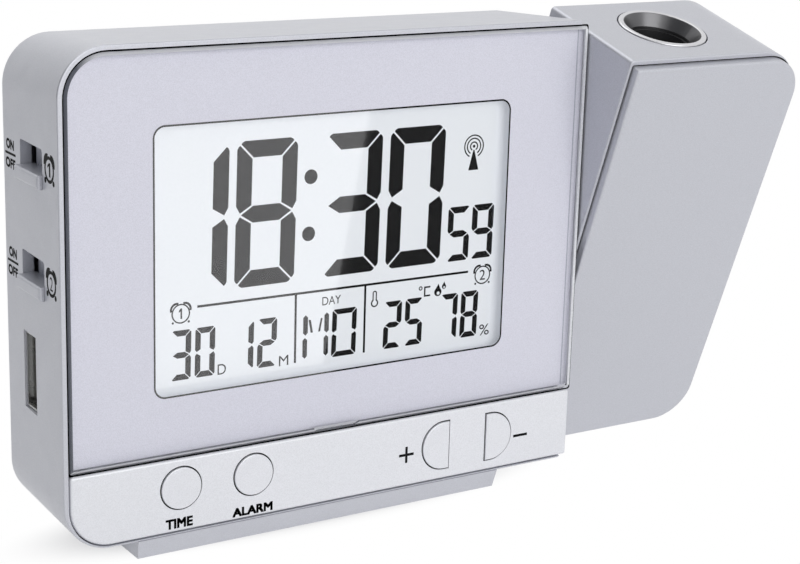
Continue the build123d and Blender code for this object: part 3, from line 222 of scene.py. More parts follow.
def plain_finish(name, color, roughness, grain=0.4, spread=0.06, height=0.004, **sockets):
    """Moulded, painted or cast surface with fine grain."""
    finish = Finish(name, **sockets)
    grains = finish.noise(grain)
    gloss = finish.noise(grain * GLOSS_GRAINS)
    return grained(finish, grains, color, spread, height, gloss, roughness, GLOSS_SPREAD)


def silver(name, color, metallic, roughness, **sockets):
    """Metallic paint: flakes that differ in brightness, over slow changes in gloss."""
    finish = Finish(name, Metallic=metallic, **sockets)
    flakes = finish.noise(FLAKE_SIZE, detail=3.0)
    gloss = finish.noise(PAINT_GLOSS_SIZE)
    return grained(finish, flakes, color, FLAKE_SPREAD, FLAKE_HEIGHT, gloss, roughness, PAINT_GLOSS_SPREAD)


def any_ray(tree, first, *others):
    """1 for rays of any of these kinds."""
    path = tree.nodes.new("ShaderNodeLightPath")
    total = path.outputs[first]
    for other in others:
        either = tree.nodes.new("ShaderNodeMath")
        either.operation = "MAXIMUM"
        tree.links.new(total, either.inputs[0])
        tree.links.new(path.outputs[other], either.inputs[1])
        total = either.outputs[0]
    return total


def clear(name, color, ior):
    """Clear plastic or glass; lamps and soft light pass straight through it."""
    finish = Finish(name, Base_Color=(*color, 1), Transmission_Weight=1.0, IOR=ior, Roughness=0.0)
    through = finish.add("ShaderNodeBsdfTransparent", Color=(*color, 1))
    factor = finish.either(finish.shader.outputs["BSDF"], through.outputs["BSDF"])
    finish.link(any_ray(finish.tree, "Is Shadow Ray", "Is Diffuse Ray"), factor)
    return finish.material


JOINTS = {joint["name"]: joint for joint in frame["record"]["behaviour"]["joints"]}
RING_MOUTH = 7.4
RING_BLEND = 0.1


def ring_finish_with_painted_shade():
    """Turned metal: a bright lip outside the mouth's radius, and a cone inside it that is darkened with
    painted shade.
    """
    finish = Finish("ring_metal", Metallic=0.9, Roughness=0.32)
    offset = finish.vector(finish.place, "SUBTRACT", JOINTS["focus_turn"]["pos_m"])
    cross = finish.vector(offset.outputs["Vector"], "CROSS_PRODUCT", JOINTS["focus_turn"]["axis"])
    radius = finish.vector(cross.outputs["Vector"], "LENGTH")
    low, high = (RING_MOUTH - RING_BLEND) * MM, (RING_MOUTH + RING_BLEND) * MM
    share = finish.ramp(radius.outputs["Value"], low, high)
    # Dark inside the mouth: painted shade of the bore
    finish.colors(share.outputs["Result"], (0.13, 0.13, 0.135), (0.62, 0.62, 0.64))
    finish.bump(finish.noise(0.3, stretch=(1, 1, 4)), 0.004)
    return finish.material


SILVER = (0.60, 0.61, 0.66)
BAR_SILVER = (0.85, 0.86, 0.90)
PRINT_SILVER = (0.82, 0.82, 0.90)

FINISHES = {
    "silver_paint": silver("silver_paint", SILVER, 0.35, 0.38),
    "bar_paint": silver("bar_paint", BAR_SILVER, 0.25, 0.38),
    "silver_print": silver("silver_print", PRINT_SILVER, 0.0, 0.5, Specular_IOR_Level=0.0),
    "clear_lens": clear("clear_lens", (0.99, 0.99, 1.0), 1.15),
    "lcd": plain_finish(
        "lcd",
        (0.80, 0.83, 0.84),
        0.03,
        grain=0.5,
        spread=0.01,
        height=0.0,
        IOR=2.0,
        Emission_Color=(0.95, 0.98, 1.0, 1),
        Emission_Strength=0.22,
    ),
    "backlight": plain_finish("backlight", (0.85, 0.86, 0.84), 0.5),
    "white_plastic": plain_finish("white_plastic", (0.72, 0.72, 0.70), 0.45),
    "black_plastic": plain_finish("black_plastic", (0.022, 0.022, 0.024), 0.45),
    "board": plain_finish("board", (0.02, 0.14, 0.06), 0.35),
    "steel": plain_finish("steel", (0.55, 0.55, 0.54), 0.28, Metallic=1.0),
    "rubber": plain_finish("rubber", (0.03, 0.03, 0.03), 0.8, height=0.02),
    "zebra": plain_finish("zebra", (0.08, 0.08, 0.09), 0.6),
    "cell": plain_finish("cell", (0.10, 0.12, 0.14), 0.3, Metallic=0.6),
    "copper": plain_finish("copper", (0.70, 0.30, 0.12), 0.3, Metallic=1.0),
    "ferrite": plain_finish("ferrite", (0.05, 0.05, 0.055), 0.6),
    "ring_metal": ring_finish_with_painted_shade(),
    "optic_plastic": clear("optic_plastic", (0.80, 0.82, 0.86), 1.75),
    "lead": plain_finish("lead", (0.04, 0.04, 0.04), 0.6),
}


def dress_nodes():
    """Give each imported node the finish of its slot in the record."""
    for part in frame["record"]["subparts"]:
        slots = NODES[part["node"]].data.materials
        slots.clear()
        slots.append(FINISHES[part["material_slot"]])


dress_nodes()
COATED_LENS = plain_finish("coated_lens", (0.055, 0.055, 0.06), 0.12, grain=1.5)
NODES["projection_lens"].data.materials[0] = COATED_LENS

LCD_INK = plain_finish("lcd_ink", (0.002, 0.002, 0.002), 0.03, height=0.0, IOR=2.0)
PRINT_INK = plain_finish("print_ink", (0.004, 0.004, 0.005), 0.6, Specular_IOR_Level=0.1)

# ---------------------------------------------------------------- flat shapes, in millimetres

PRINT_THICKNESS = 0.02
ARC_STEPS = 32


def mesh_of(curve):
    """Mesh of a filled curve or text."""
    holder = linked("holder", curve)
    graph = bpy.context.evaluated_depsgraph_get()
    mesh = bpy.data.meshes.new_from_object(holder.evaluated_get(graph))
    bpy.data.objects.remove(holder)
    return mesh


def shape(*outlines):
    """Filled shape; an outline inside another is a hole."""
    curve = bpy.data.curves.new("shape", "CURVE")
    curve.dimensions = "2D"
    curve.fill_mode = "BOTH"
    curve.extrude = PRINT_THICKNESS / 2
    for outline in outlines:
        spline = curve.splines.new("POLY")
        spline.points.add(len(outline) - 1)
        for point, (x, y) in zip(spline.points, outline):
            point.co = (x, y, 0, 1)
        spline.use_cyclic_u = True
    return mesh_of(curve)


def arc(x, y, radius, start=0.0, end=360.0):
    """Points on an arc, in degrees from the right, anticlockwise."""
    whole = abs(end - start) >= 360
    count = ARC_STEPS if whole else ARC_STEPS + 1
    angles = [math.radians(start + (end - start) * i / ARC_STEPS) for i in range(count)]
    return [(x + radius * math.cos(a), y + radius * math.sin(a)) for a in angles]


def disc(x, y, radius):
    return shape(arc(x, y, radius))


def ring(x, y, radius, width):
    """Ring whose outer radius and width are given."""
    return shape(arc(x, y, radius), arc(x, y, radius - width))


def band(x, y, radius, width, start, end):
    """Part of a ring."""
    return shape(arc(x, y, radius, start, end) + arc(x, y, radius - width, end, start))


def line(start, end, width):
    """Straight line with square ends."""
    start, end = Vector(start), Vector(end)
    side = (end - start).normalized().orthogonal() * (width / 2)
    return shape([start + side, start - side, end - side, end + side])


def words(text, left, bottom, width, height):
    """Plain lettering that fills a box."""
    curve = bpy.data.curves.new("words", "FONT")
    curve.body = text
    curve.extrude = PRINT_THICKNESS / 2
    mesh = mesh_of(curve)
    xs = [vertex.co.x for vertex in mesh.vertices]
    ys = [vertex.co.y for vertex in mesh.vertices]
    scale_x = width / (max(xs) - min(xs))
    scale_y = height / (max(ys) - min(ys))
    to_box = Matrix.Translation((left - min(xs) * scale_x, bottom - min(ys) * scale_y, 0))
    mesh.transform(to_box @ Matrix.Diagonal((scale_x, scale_y, 1, 1)))
    return mesh


def bold(text, left, bottom, width, height, step):
    """Lettering whose strokes are thickened by a step."""
    return [
        words(text, left + across, bottom + up, width - step, height - step)
        for across in (0, step / 2, step)
        for up in (0, step)
    ]


def printed(name, parts, place, material, body):
    """One thin piece from flat shapes that lie on a face."""
    joined = bmesh.new()
    for part in parts:
        joined.from_mesh(part)
        bpy.data.meshes.remove(part)
    bmesh.ops.translate(joined, verts=joined.verts, vec=(0, 0, PRINT_THICKNESS / 2))
    joined.transform(place)
    mesh = bpy.data.meshes.new(name)
    joined.to_mesh(mesh)
    joined.free()
    mesh.materials.append(material)
    piece = linked(name, mesh)
    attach(piece, body)
    return piece


# ---------------------------------------------------------------- display

# Segments of a digit, named as on any seven-segment display: a on top, then clockwise, g in the middle
DIGITS = {
    "0": "abcdef",
    "1": "bc",
    "2": "abged",
    "3": "abgcd",
    "5": "afgcd",
    "7": "abc",
    "8": "abcdefg",
    "9": "abcdfg",
}
SLANT = 0.02
TIP_SHARE = 0.18
ROUND_SHARE = 0.5


def segments(lit, right, bottom, width, height, stroke, gap):
    """The lit segments of one digit, whose outer box ends at a right edge."""
    left = right - width
    middle = bottom + height / 2
    tip = TIP_SHARE * stroke
    rounded = ROUND_SHARE * stroke
    reach = tip + gap

    def place(x, y):
        return (left + x + SLANT * y, bottom + y)

    half = height / 2
    corner = [
        (0, height - rounded),
        (tip * 0.4, height - rounded * 0.7),
        (tip, height - reach),
        (stroke, height - stroke - gap),
        (stroke, half + stroke * 0.5 + gap * 0.6),
        (reach, half + gap * 1.4),
        (0, half + stroke * 0.55),
    ]
    top = [
        (rounded, height),
        (rounded * 0.7, height - tip * 0.4),
        (reach, height - tip),
        (stroke + gap, height - stroke),
        (width - stroke - gap, height - stroke),
        (width - reach, height - tip),
        (width - rounded * 0.7, height - tip * 0.4),
        (width - rounded, height),
    ]
    centre = [
        (reach + gap, half),
        (stroke + gap * 1.6, half + stroke / 2),
        (width - stroke - gap * 1.6, half + stroke / 2),
        (width - reach - gap, half),
        (width - stroke - gap * 1.6, half - stroke / 2),
        (stroke + gap * 1.6, half - stroke / 2),
    ]
    outlines = {
        "a": top,
        "d": [(x, height - y) for x, y in top],
        "f": corner,
        "b": [(width - x, y) for x, y in corner],
        "e": [(x, height - y) for x, y in corner],
        "c": [(width - x, height - y) for x, y in corner],
        "g": centre,
    }
    return [shape([place(x, y) for x, y in outlines[name]]) for name in lit]


def number(text, right, bottom, width, height, stroke, gap, pitch):
    """Digits side by side; right is the first digit's right edge at its bottom."""
    parts = []
    for index, figure in enumerate(text):
        parts += segments(DIGITS[figure], right + index * pitch, bottom, width, height, stroke, gap)
    return parts


LCD_FRONT = 3.6
LCD_FACE = front_face(LCD_FRONT)

# Time, with its seconds
TIME_BOTTOM = 40.95
TIME_SIZE = dict(width=11.55, height=25.25, stroke=2.9, gap=0.22)
time_parts = []
for figure, right in (("1", 31.2), ("8", 44.2), ("3", 61.15), ("0", 74.3)):
    time_parts += segments(DIGITS[figure], right, TIME_BOTTOM, **TIME_SIZE)
time_parts += [disc(47.3, 59.05, 1.28), disc(47.0, 49.05, 1.28)]
time_parts += number("59", 80.5, 40.8, width=4.75, height=10.1, stroke=1.2, gap=0.12, pitch=5.25)

# Date, weekday, temperature and humidity
SMALL_SIZE = dict(width=3.75, height=8.75, stroke=1.03, gap=0.1, pitch=4.5)
LOW_ROW = 26.2
date_parts = number("30", 24.5, LOW_ROW, **SMALL_SIZE)
date_parts += number("12", 36.4, LOW_ROW, **SMALL_SIZE)
weather_parts = number("25", 66.4, LOW_ROW - 0.1, **SMALL_SIZE)
weather_parts += number("78", 78.5, LOW_ROW - 0.2, **SMALL_SIZE)

# MO, in the weekday's own cells
LEG_TOP = 34.5
LEG_MIDDLE = 30.6
LEG_BOTTOM = 26.6
LEG_WIDTH = 0.92
LEG_CUT = 0.45
LEG_SPLIT = 0.2


def leg(x, top, bottom):
    """Upright segment with its tips cut to a slant."""
    left, right = x - LEG_WIDTH / 2, x + LEG_WIDTH / 2
    upper, lower = top - LEG_CUT, bottom + LEG_CUT
    return shape([(left, upper), (x, top), (right, upper), (right, lower), (x, bottom), (left, lower)])


day_parts = []
for x in (46.6, 50.85):
    day_parts.append(leg(x + 0.1, LEG_TOP, LEG_MIDDLE + LEG_SPLIT))
    day_parts.append(leg(x, LEG_MIDDLE - LEG_SPLIT, LEG_BOTTOM))
day_parts += [
    shape([(47.3, 33.6), (47.75, 33.5), (48.2, 31.2), (47.75, 31.2)]),
    shape([(49.75, 33.6), (50.1, 33.6), (49.65, 31.2), (49.25, 31.2)]),
]
day_parts += segments("abcdef", 56.95, LOW_ROW - 0.1, width=5.0, height=8.7, stroke=0.95, gap=0.1)

# Lines between the fields
LINE_WIDTH = 0.42
line_parts = [
    line((25.75, 38.68), (80.7, 38.45), LINE_WIDTH),
    line((44.68, 38.4), (44.68, 26.1), LINE_WIDTH),
    line((58.74, 38.4), (58.74, 26.05), LINE_WIDTH),
]


def one(x, y, height, stroke):
    """Figure 1 with its flag, centred on a point."""
    low, high = y - height / 2, y + height / 2
    right = x + stroke * 0.8
    left = right - stroke
    flag = x - stroke * 1.2
    return shape([
        (right, low),
        (right, high),
        (right - stroke * 0.8, high),
        (flag, high - height * 0.22),
        (flag, high - height * 0.4),
        (left, high - height * 0.24),
        (left, low),
    ])


# Shares of an alarm symbol's radius and stroke, and angles, for its ears and feet
EAR_ACROSS = 0.444
EAR_UP = 0.429
EAR_RADIUS = 0.72
EAR_STROKE = 1.6
EAR_TURN = 45
EAR_HALF_ANGLE = 62
FOOT_ACROSS = 0.86
FOOT_DOWN = 0.88
FOOT_STROKE = 0.85
ONE_STROKE = 1.2


def alarm_symbol(x, y, radius, figure, figure_width, figure_height, stroke):
    """Alarm clock with a number on its face."""
    parts = [ring(x, y, radius, stroke)]
    for side in (-1, 1):
        ear_x, ear_y = x + side * radius * EAR_ACROSS, y + radius * EAR_UP
        middle = 90 - side * EAR_TURN
        ends = (middle - EAR_HALF_ANGLE, middle + EAR_HALF_ANGLE)
        parts.append(band(ear_x, ear_y, radius * EAR_RADIUS, stroke * EAR_STROKE, *ends))
        parts.append(disc(x + side * radius * FOOT_ACROSS, y - radius * FOOT_DOWN, stroke * FOOT_STROKE))
    if figure == "1":
        parts.append(one(x, y, figure_height, stroke * ONE_STROKE))
    else:
        parts.append(words(figure, x - figure_width / 2, y - figure_height / 2, figure_width, figure_height))
    return parts


SYMBOL_STROKE = 0.24
symbol_parts = alarm_symbol(22.7, 37.83, 1.72, "1", 0.75, 1.85, SYMBOL_STROKE)
symbol_parts += alarm_symbol(83.92, 37.5, 1.75, "2", 1.2, 1.9, SYMBOL_STROKE)

# Radio tower
TOWER = (80.95, 61.75)
for radius, gap_angle in ((0.88, 30), (1.56, 30), (2.14, 27)):
    symbol_parts.append(band(*TOWER, radius, SYMBOL_STROKE, -90 + gap_angle, 270 - gap_angle))
symbol_parts.append(disc(*TOWER, 0.27))
symbol_parts.append(shape([(80.85, 61.1), (81.05, 61.1), (82.05, 57.4), (79.88, 57.4)]))

# Thermometer, as an outline
THERMOMETER_X = 60.74
STEM_TOP = 36.8
BULB = 34.97
symbol_parts.append(shape(
    arc(THERMOMETER_X, STEM_TOP, 0.44, 0, 180) + arc(THERMOMETER_X, BULB, 0.75, 126, 414),
    arc(THERMOMETER_X, STEM_TOP, 0.22, 0, 180) + arc(THERMOMETER_X, BULB, 0.5, 116, 424),
))

# Degree sign and C
C_LEFT, C_RIGHT = 71.2, 72.55
C_LOW, C_HIGH = 34.85, 36.75
C_STROKE = 0.3
symbol_parts.append(ring(70.45, 36.5, 0.4, 0.2))
symbol_parts.append(shape([
    (C_RIGHT, C_HIGH),
    (C_LEFT, C_HIGH),
    (C_LEFT, C_LOW),
    (C_RIGHT, C_LOW),
    (C_RIGHT, C_LOW + C_STROKE),
    (C_LEFT + C_STROKE, C_LOW + C_STROKE),
    (C_LEFT + C_STROKE, C_HIGH - C_STROKE),
    (C_RIGHT, C_HIGH - C_STROKE),
]))


def drop(x, y, radius, tip, cut):
    """Falling drop, with its highlight left out."""
    body = arc(x, y, radius, 130, 410) + [(x + radius * 0.15, y + tip)]
    return shape(body, arc(x + radius * 0.1, y - radius * 0.3, cut))


symbol_parts += [drop(74.2, 35.4, 0.78, 1.55, 0.32), drop(75.5, 36.3, 0.45, 0.9, 0.18)]
for text, left, bottom, width, height in (
    ("%", 83.7, 25.85, 2.2, 2.1),
    ("D", 29.6, 26.1, 1.6, 1.85),
    ("M", 41.5, 25.95, 1.85, 1.85),
    ("DAY", 50.0, 35.85, 3.75, 1.5),
):
    symbol_parts.append(words(text, left, bottom, width, height))

for name, parts in (
    ("time_segments", time_parts),
    ("date_segments", date_parts),
    ("weekday_segments", day_parts),
    ("weather_segments", weather_parts),
    ("display_lines", line_parts),
    ("display_symbols", symbol_parts),
):
    printed(name, parts, LCD_FACE, LCD_INK, "case")

# ---------------------------------------------------------------- print on the back of the lens plate

# Sizes in millimetres. The skin, the prints and the black sheets of painted gap shade stand a little off the
# solids' faces.
LENS_THICKNESS = 1.5
LENS_BEVEL = 0.6
LENS_CORNER = 7.25
PLATE_CORNER = 0.5
LEAST_CORNER = 0.05
PRINT_BITE = 0.03
EDGE_SKIN = 0.03
PAINTED_HIGHLIGHT_WIDTH = 0.55
PRINT_MARGIN = 1.2
PRINT_EDGE_WIDTH = 0.25
PLATE_GAP = 0.3
PLATE_BAR_GAP = 0.25
RIGHT_GAP_SHADE = 0.2
SHADE_SHEET_DEPTH = 0.2
NOTCH_LEFT = 47.5
NOTCH_RIGHT = 55.5
NOTCH_HEIGHT = 0.35
WINDOW_LEFT = 16.88
WINDOW_WIDTH = 70.17
WINDOW_BOTTOM = 24.25
WINDOW_HEIGHT = 45.96
WINDOW_CORNER = 2.0
WINDOW_LINE = 0.3

# Pale painted highlight along the lens plate's right edge and on its right side
LENS_EDGE_HIGHLIGHT = plain_finish("lens_edge_painted_light", (0.88, 0.89, 0.91), 0.25)
PRINT_EDGE = plain_finish("print_edge", (0.52, 0.53, 0.60), 0.5, Specular_IOR_Level=0.0)
# Black painted shade in the gaps round the lens plate, the arm's cover and the buttons, and on the lens
# plate's sides
GAP_SHADE_BLACK = plain_finish("painted_gap_shade", (0.001, 0.001, 0.0015), 0.8, Specular_IOR_Level=0.0)

# The normal's share along X at which the bevel's painted shade is darkest and palest
BEVEL_LEFTWARD = -0.75
BEVEL_RIGHTWARD = 0.05


def bevel_painted_shade():
    """Polished bevel of the lens plate, with painted shade: dark where it faces left, pale elsewhere."""
    finish = Finish("lens_bevel_painted_shade", Roughness=0.25)
    normal = finish.add("ShaderNodeNewGeometry").outputs["Normal"]
    parts = finish.add("ShaderNodeSeparateXYZ")
    finish.link(normal, parts.inputs["Vector"])
    share = finish.ramp(parts.outputs["X"], BEVEL_LEFTWARD, BEVEL_RIGHTWARD)
    finish.colors(share.outputs["Result"], (0.17, 0.18, 0.21), (0.80, 0.81, 0.84))
    finish.bump(finish.noise(0.6), 0.002)
    return finish.material


LENS_BEVEL_PAINTED_SHADE = bevel_painted_shade()
PRINT_PLACE = front_face(LENS_THICKNESS - PRINT_BITE)
OVER_PRINT = front_face(LENS_THICKNESS - PRINT_BITE - 2 * PRINT_THICKNESS)


def rounded_box(left, bottom, right, top, radii):
    """Outline whose corners have their radii from the top right, anticlockwise."""
    points = []
    for (x, y), start, radius in zip(
        ((right, top), (left, top), (left, bottom), (right, bottom)), (0, 90, 180, 270), radii
    ):
        side_x = 1 if start in (90, 180) else -1
        side_y = 1 if start in (180, 270) else -1
        points += arc(x + side_x * radius, y + side_y * radius, radius, start, start + 90)
    return points


def window_outline(grow):
    """The display window's outline, larger on all sides by this much."""
    return rounded_box(
        WINDOW_LEFT - grow,
        WINDOW_BOTTOM - grow,
        WINDOW_LEFT + WINDOW_WIDTH + grow,
        WINDOW_BOTTOM + WINDOW_HEIGHT + grow,
        (WINDOW_CORNER + grow,) * 4,
    )


def plate_outline(low, high, top_left=LENS_CORNER):
    """The lens plate's outline between two corners; only its top left corner is round."""
    return rounded_box(low.x, low.z, high.x, high.z, (PLATE_CORNER, top_left, PLATE_CORNER, PLATE_CORNER))


def from_case(point):
    """A point of the frame in millimetres from the case's left edge, its front and its underside."""
    return (point - case_low) / MM


def print_on_lens():
    """The silver print, bonded into the back of the lens plate, and the dark line round its window."""
    low, high = (from_case(corner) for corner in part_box("lens_print"))
    film = shape(plate_outline(low, high), window_outline(0))
    silver_print = printed("silver_print", [film], PRINT_PLACE, FINISHES["silver_print"], "lens_plate")
    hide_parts("lens_print")
    frame_line = shape(window_outline(WINDOW_LINE / 2), window_outline(-WINDOW_LINE / 2))
    printed("window_line", [frame_line], OVER_PRINT, LCD_INK, "lens_plate")


def lens_painted_light_skin(low, high):
    """Satin skin under the lens plate's bevel and side, carrying painted light: painted light and shade on
    the bevel by the way it faces, black painted shade on the sides, and a painted highlight on the right
    side.
    """

    def loop(depth, inset):
        square = max(PLATE_CORNER - inset, LEAST_CORNER)
        radii = (square, LENS_CORNER - inset, square, square)
        outline = rounded_box(low.x + inset, low.z + inset, high.x - EDGE_SKIN, high.z - inset, radii)
        notch_top = low.z + NOTCH_HEIGHT + inset
        notch = [(NOTCH_LEFT - inset, low.z + inset), (NOTCH_LEFT - inset, notch_top)]
        notch += [(NOTCH_RIGHT + inset, notch_top), (NOTCH_RIGHT + inset, low.z + inset)]
        first_bottom = 3 * (ARC_STEPS + 1)
        outline[first_bottom:first_bottom] = notch
        return [in_case(x, depth, z) for x, z in outline]

    skin = EDGE_SKIN
    loops = [loop(skin * 2, LENS_BEVEL), loop(LENS_BEVEL + skin, skin), loop(LENS_THICKNESS - skin, skin)]
    count = len(loops[0])
    faces = []
    for start in (0, count):
        for index in range(count):
            near, next_near = start + index, start + (index + 1) % count
            faces.append((near, next_near, count + next_near, count + near))
    mesh = bpy.data.meshes.new("lens_edge_painted_light")
    mesh.from_pydata([point for points in loops for point in points], [], faces)
    bevel_shade_slot, side_shade_slot, right_highlight_slot = range(3)
    for material in (LENS_BEVEL_PAINTED_SHADE, GAP_SHADE_BLACK, LENS_EDGE_HIGHLIGHT):
        mesh.materials.append(material)
    for polygon in mesh.polygons:
        at_right = from_case(polygon.center).x > high.x - 2 * EDGE_SKIN
        polygon.material_index = bevel_shade_slot
        if polygon.index >= count:
            polygon.material_index = right_highlight_slot if at_right else side_shade_slot
    edge = linked("lens_edge_painted_light", mesh)
    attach(edge, "lens_plate")


def add_plate_edges():
    """The lens plate's skin with its painted light, a painted highlight along its right edge, the print's
    edge beside it, and a black sheet of painted shade in the gap round the plate.
    """
    low, high = (from_case(corner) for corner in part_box("display_lens"))
    lens_painted_light_skin(low, high)

    def upright(left, right):
        bottom, top = low.z + LENS_BEVEL, high.z - LENS_BEVEL
        return shape([(left, bottom), (right, bottom), (right, top), (left, top)])

    highlight_outline = upright(high.x - PAINTED_HIGHLIGHT_WIDTH, high.x - EDGE_SKIN)
    painted_highlight = printed("lens_painted_highlight", [highlight_outline], front_face(EDGE_SKIN), LENS_EDGE_HIGHLIGHT, "lens_plate")
    margin = upright(high.x - PRINT_MARGIN - PRINT_EDGE_WIDTH, high.x - PRINT_MARGIN)
    printed("lens_print_edge", [margin], OVER_PRINT, PRINT_EDGE, "lens_plate")

    outer_low = low - Vector((PLATE_GAP, 0, PLATE_BAR_GAP))
    outer_high = high + Vector((RIGHT_GAP_SHADE, 0, PLATE_GAP))
    outer = plate_outline(outer_low, outer_high, LENS_CORNER + PLATE_GAP)
    gap = shape(outer, plate_outline(low, high))
    gap_shade_sheet = printed("plate_gap_shade", [gap], front_face(SHADE_SHEET_DEPTH), GAP_SHADE_BLACK, "case")


add_plate_edges()
print_on_lens()

# ---------------------------------------------------------------- black painted shade in the gaps round the arm's cover and buttons

ARM_TILT = math.radians(19.5)
ARM_OUT = Vector((0, math.cos(ARM_TILT), math.sin(ARM_TILT)))
ARM_UPWARD = Vector((0, -math.sin(ARM_TILT), math.cos(ARM_TILT)))
ARM_FRONT = 11.1
COVER_GAP = 0.27
POCKET_LEFT = 0.45
POCKET_RIGHT = 41.4
POCKET_BOTTOM = -42.65
POCKET_TOP = 41.35
POCKET_CORNER = 8.0
POCKET_SQUARE = 0.4
ROUND_BUTTONS = ((21.15, 8.25), (34.95, 8.25))
ROUND_RADIUS = 3.7
D_BUTTONS = ((75.5, -1), (83.8, 1))
D_RADIUS = 4.5
D_STRAIGHT = 1.15
D_HEIGHT = 7.0
BUTTON_GAP = 0.25


def pocket_outline(inset):
    """Outline of the pocket that holds the arm's cover; both right corners are round."""
    round_corner = POCKET_CORNER - inset
    square = POCKET_SQUARE - inset
    return rounded_box(
        POCKET_LEFT + inset,
        POCKET_BOTTOM + inset,
        POCKET_RIGHT - inset,
        POCKET_TOP - inset,
        (round_corner, square, square, round_corner),
    )


def d_outline(flat, side, grow):
    """A D whose flat is upright; side -1 turns its round part left and 1 turns it right."""
    centre = flat + side * D_STRAIGHT
    radius = D_RADIUS + grow
    start = 90 if side < 0 else -90
    flat_x = flat - side * grow
    first, last = (flat_x, D_HEIGHT - side * radius), (flat_x, D_HEIGHT + side * radius)
    return arc(centre, D_HEIGHT, radius, start, start + 180) + [last, first]


def add_gap_shades():
    """Black painted shade in the gap round the arm's cover, and in the gaps round the four buttons."""
    pivot = Vector(JOINTS["projector_swivel"]["pos_m"])
    cover_place = face(pivot + ARM_OUT * (SHADE_SHEET_DEPTH - ARM_FRONT) * MM, (1, 0, 0), ARM_UPWARD)
    cover_gap = shape(pocket_outline(0), pocket_outline(COVER_GAP))
    printed("cover_gap_shade", [cover_gap], cover_place, GAP_SHADE_BLACK, "arm")
    gaps = [ring(x, z, ROUND_RADIUS + BUTTON_GAP, BUTTON_GAP) for x, z in ROUND_BUTTONS]
    gaps += [shape(d_outline(flat, side, BUTTON_GAP), d_outline(flat, side, 0)) for flat, side in D_BUTTONS]
    printed("button_gap_shade", gaps, front_face(SHADE_SHEET_DEPTH), GAP_SHADE_BLACK, "case")


add_gap_shades()

# ---------------------------------------------------------------- painted shade in the screw heads' recesses

CROSS_REACH = 1.0
CROSS_WIDTH = 0.42
RIM_BAND = 0.01
RECESS_SHADE = plain_finish("recess_shade", (0.02, 0.02, 0.022), 0.6)


def head_centres(node, out):
    """Centre of each screw head's outer face."""
    mesh = bmesh.new()
    mesh.from_mesh(NODES[node].data)
    seen = set()
    centres = []
    for first in mesh.verts:
        if first.index in seen:
            continue
        seen.add(first.index)
        island, stack = [], [first]
        while stack:
            vertex = stack.pop()
            island.append(vertex.co.copy())
            for edge in vertex.link_edges:
                other = edge.other_vert(vertex)
                if other.index not in seen:
                    seen.add(other.index)
                    stack.append(other)
        top = max(point.dot(out) for point in island)
        rim = [point for point in island if point.dot(out) > top - RIM_BAND * MM]
        centres.append(sum(rim, Vector()) / len(rim))
    mesh.free()
    return centres


def add_recess_shades(name, node, body, out, up):
    """A dark cross of painted shade in each screw head's recess."""
    right = up.cross(out)
    for index, centre in enumerate(head_centres(node, out)):
        cross = [line((-x, -y), (x, y), CROSS_WIDTH) for x, y in ((CROSS_REACH, 0), (0, CROSS_REACH))]
        printed(f"{name}_{index + 1}", cross, face(centre, right, up), RECESS_SHADE, body)


add_recess_shades("case_screw_recess_shade", "case_screws", "case", Vector((0, 1, 0)), Vector((0, 0, 1)))
add_recess_shades("arm_screw_recess_shade", "arm_screws", "arm", ARM_OUT, ARM_UPWARD)

# ---------------------------------------------------------------- labels on the button bar and the left wall

BAR_FACE = front_face(0)
BOLD_STEP = 0.2
SIGN_STROKE = 0.5
PLUS_X, PLUS_Y = 66.33, 6.45
bar_labels = bold("TIME", 18.2, 1.1, 5.1, 1.8, BOLD_STEP) + bold("ALARM", 30.9, 0.98, 7.85, 1.65, BOLD_STEP)
for start, end in (
    ((64.75, PLUS_Y), (67.9, PLUS_Y)),
    ((PLUS_X, 8.0), (PLUS_X, PLUS_Y + SIGN_STROKE / 2)),
    ((PLUS_X, PLUS_Y - SIGN_STROKE / 2), (PLUS_X, 4.9)),
    ((90.2, 6.1), (93.4, 6.1)),
):
    bar_labels.append(line(start, end, SIGN_STROKE))
printed("bar_labels", bar_labels, BAR_FACE, PRINT_INK, "case")

ICON_STROKE = 0.56
RULE_WIDTH = 0.42
WALL_HEIGHT = 1.75
wall_labels = [
    line((-25.6, 63.2), (-20.3, 63.3), RULE_WIDTH),
    line((-25.6, 44.7), (-20.2, 44.85), RULE_WIDTH),
]
for text, left, bottom, width in (
    ("ON", -25.0, 63.95, 3.9),
    ("OFF", -25.4, 60.75, 4.9),
    ("ON", -24.8, 45.45, 3.9),
    ("OFF", -25.4, 42.25, 4.9),
):
    wall_labels += bold(text, left, bottom, width, WALL_HEIGHT, BOLD_STEP)
wall_labels += alarm_symbol(-4.05, 64.05, 2.2, "1", 0.95, 2.3, ICON_STROKE)
wall_labels += alarm_symbol(-4.05, 45.4, 2.2, "2", 1.3, 2.3, ICON_STROKE)
printed("wall_labels", wall_labels, LEFT_WALL, PRINT_INK, "case")

# ---------------------------------------------------------------- studio

# The shadow's oval has these half sizes in metres, and the floor turns white between two shares of them.
FLOOR_HALF = 6.0
FLOOR_COLOR = (0.97, 0.97, 0.98)
SHADOW_HALF = (0.041, 0.0112, 1.0)
FLOOR_NEAR = 0.4
FLOOR_FAR = 1.45
WORLD_STRENGTH = 0.44
MATT = 0.9
SEEN_RAYS = ("Is Camera Ray", "Is Glossy Ray", "Is Transmission Ray")


def sheet(name, corners):
    """A single face between four points."""
    mesh = bpy.data.meshes.new(name)
    mesh.from_pydata(corners, [], [(0, 1, 2, 3)])
    return linked(name, mesh)


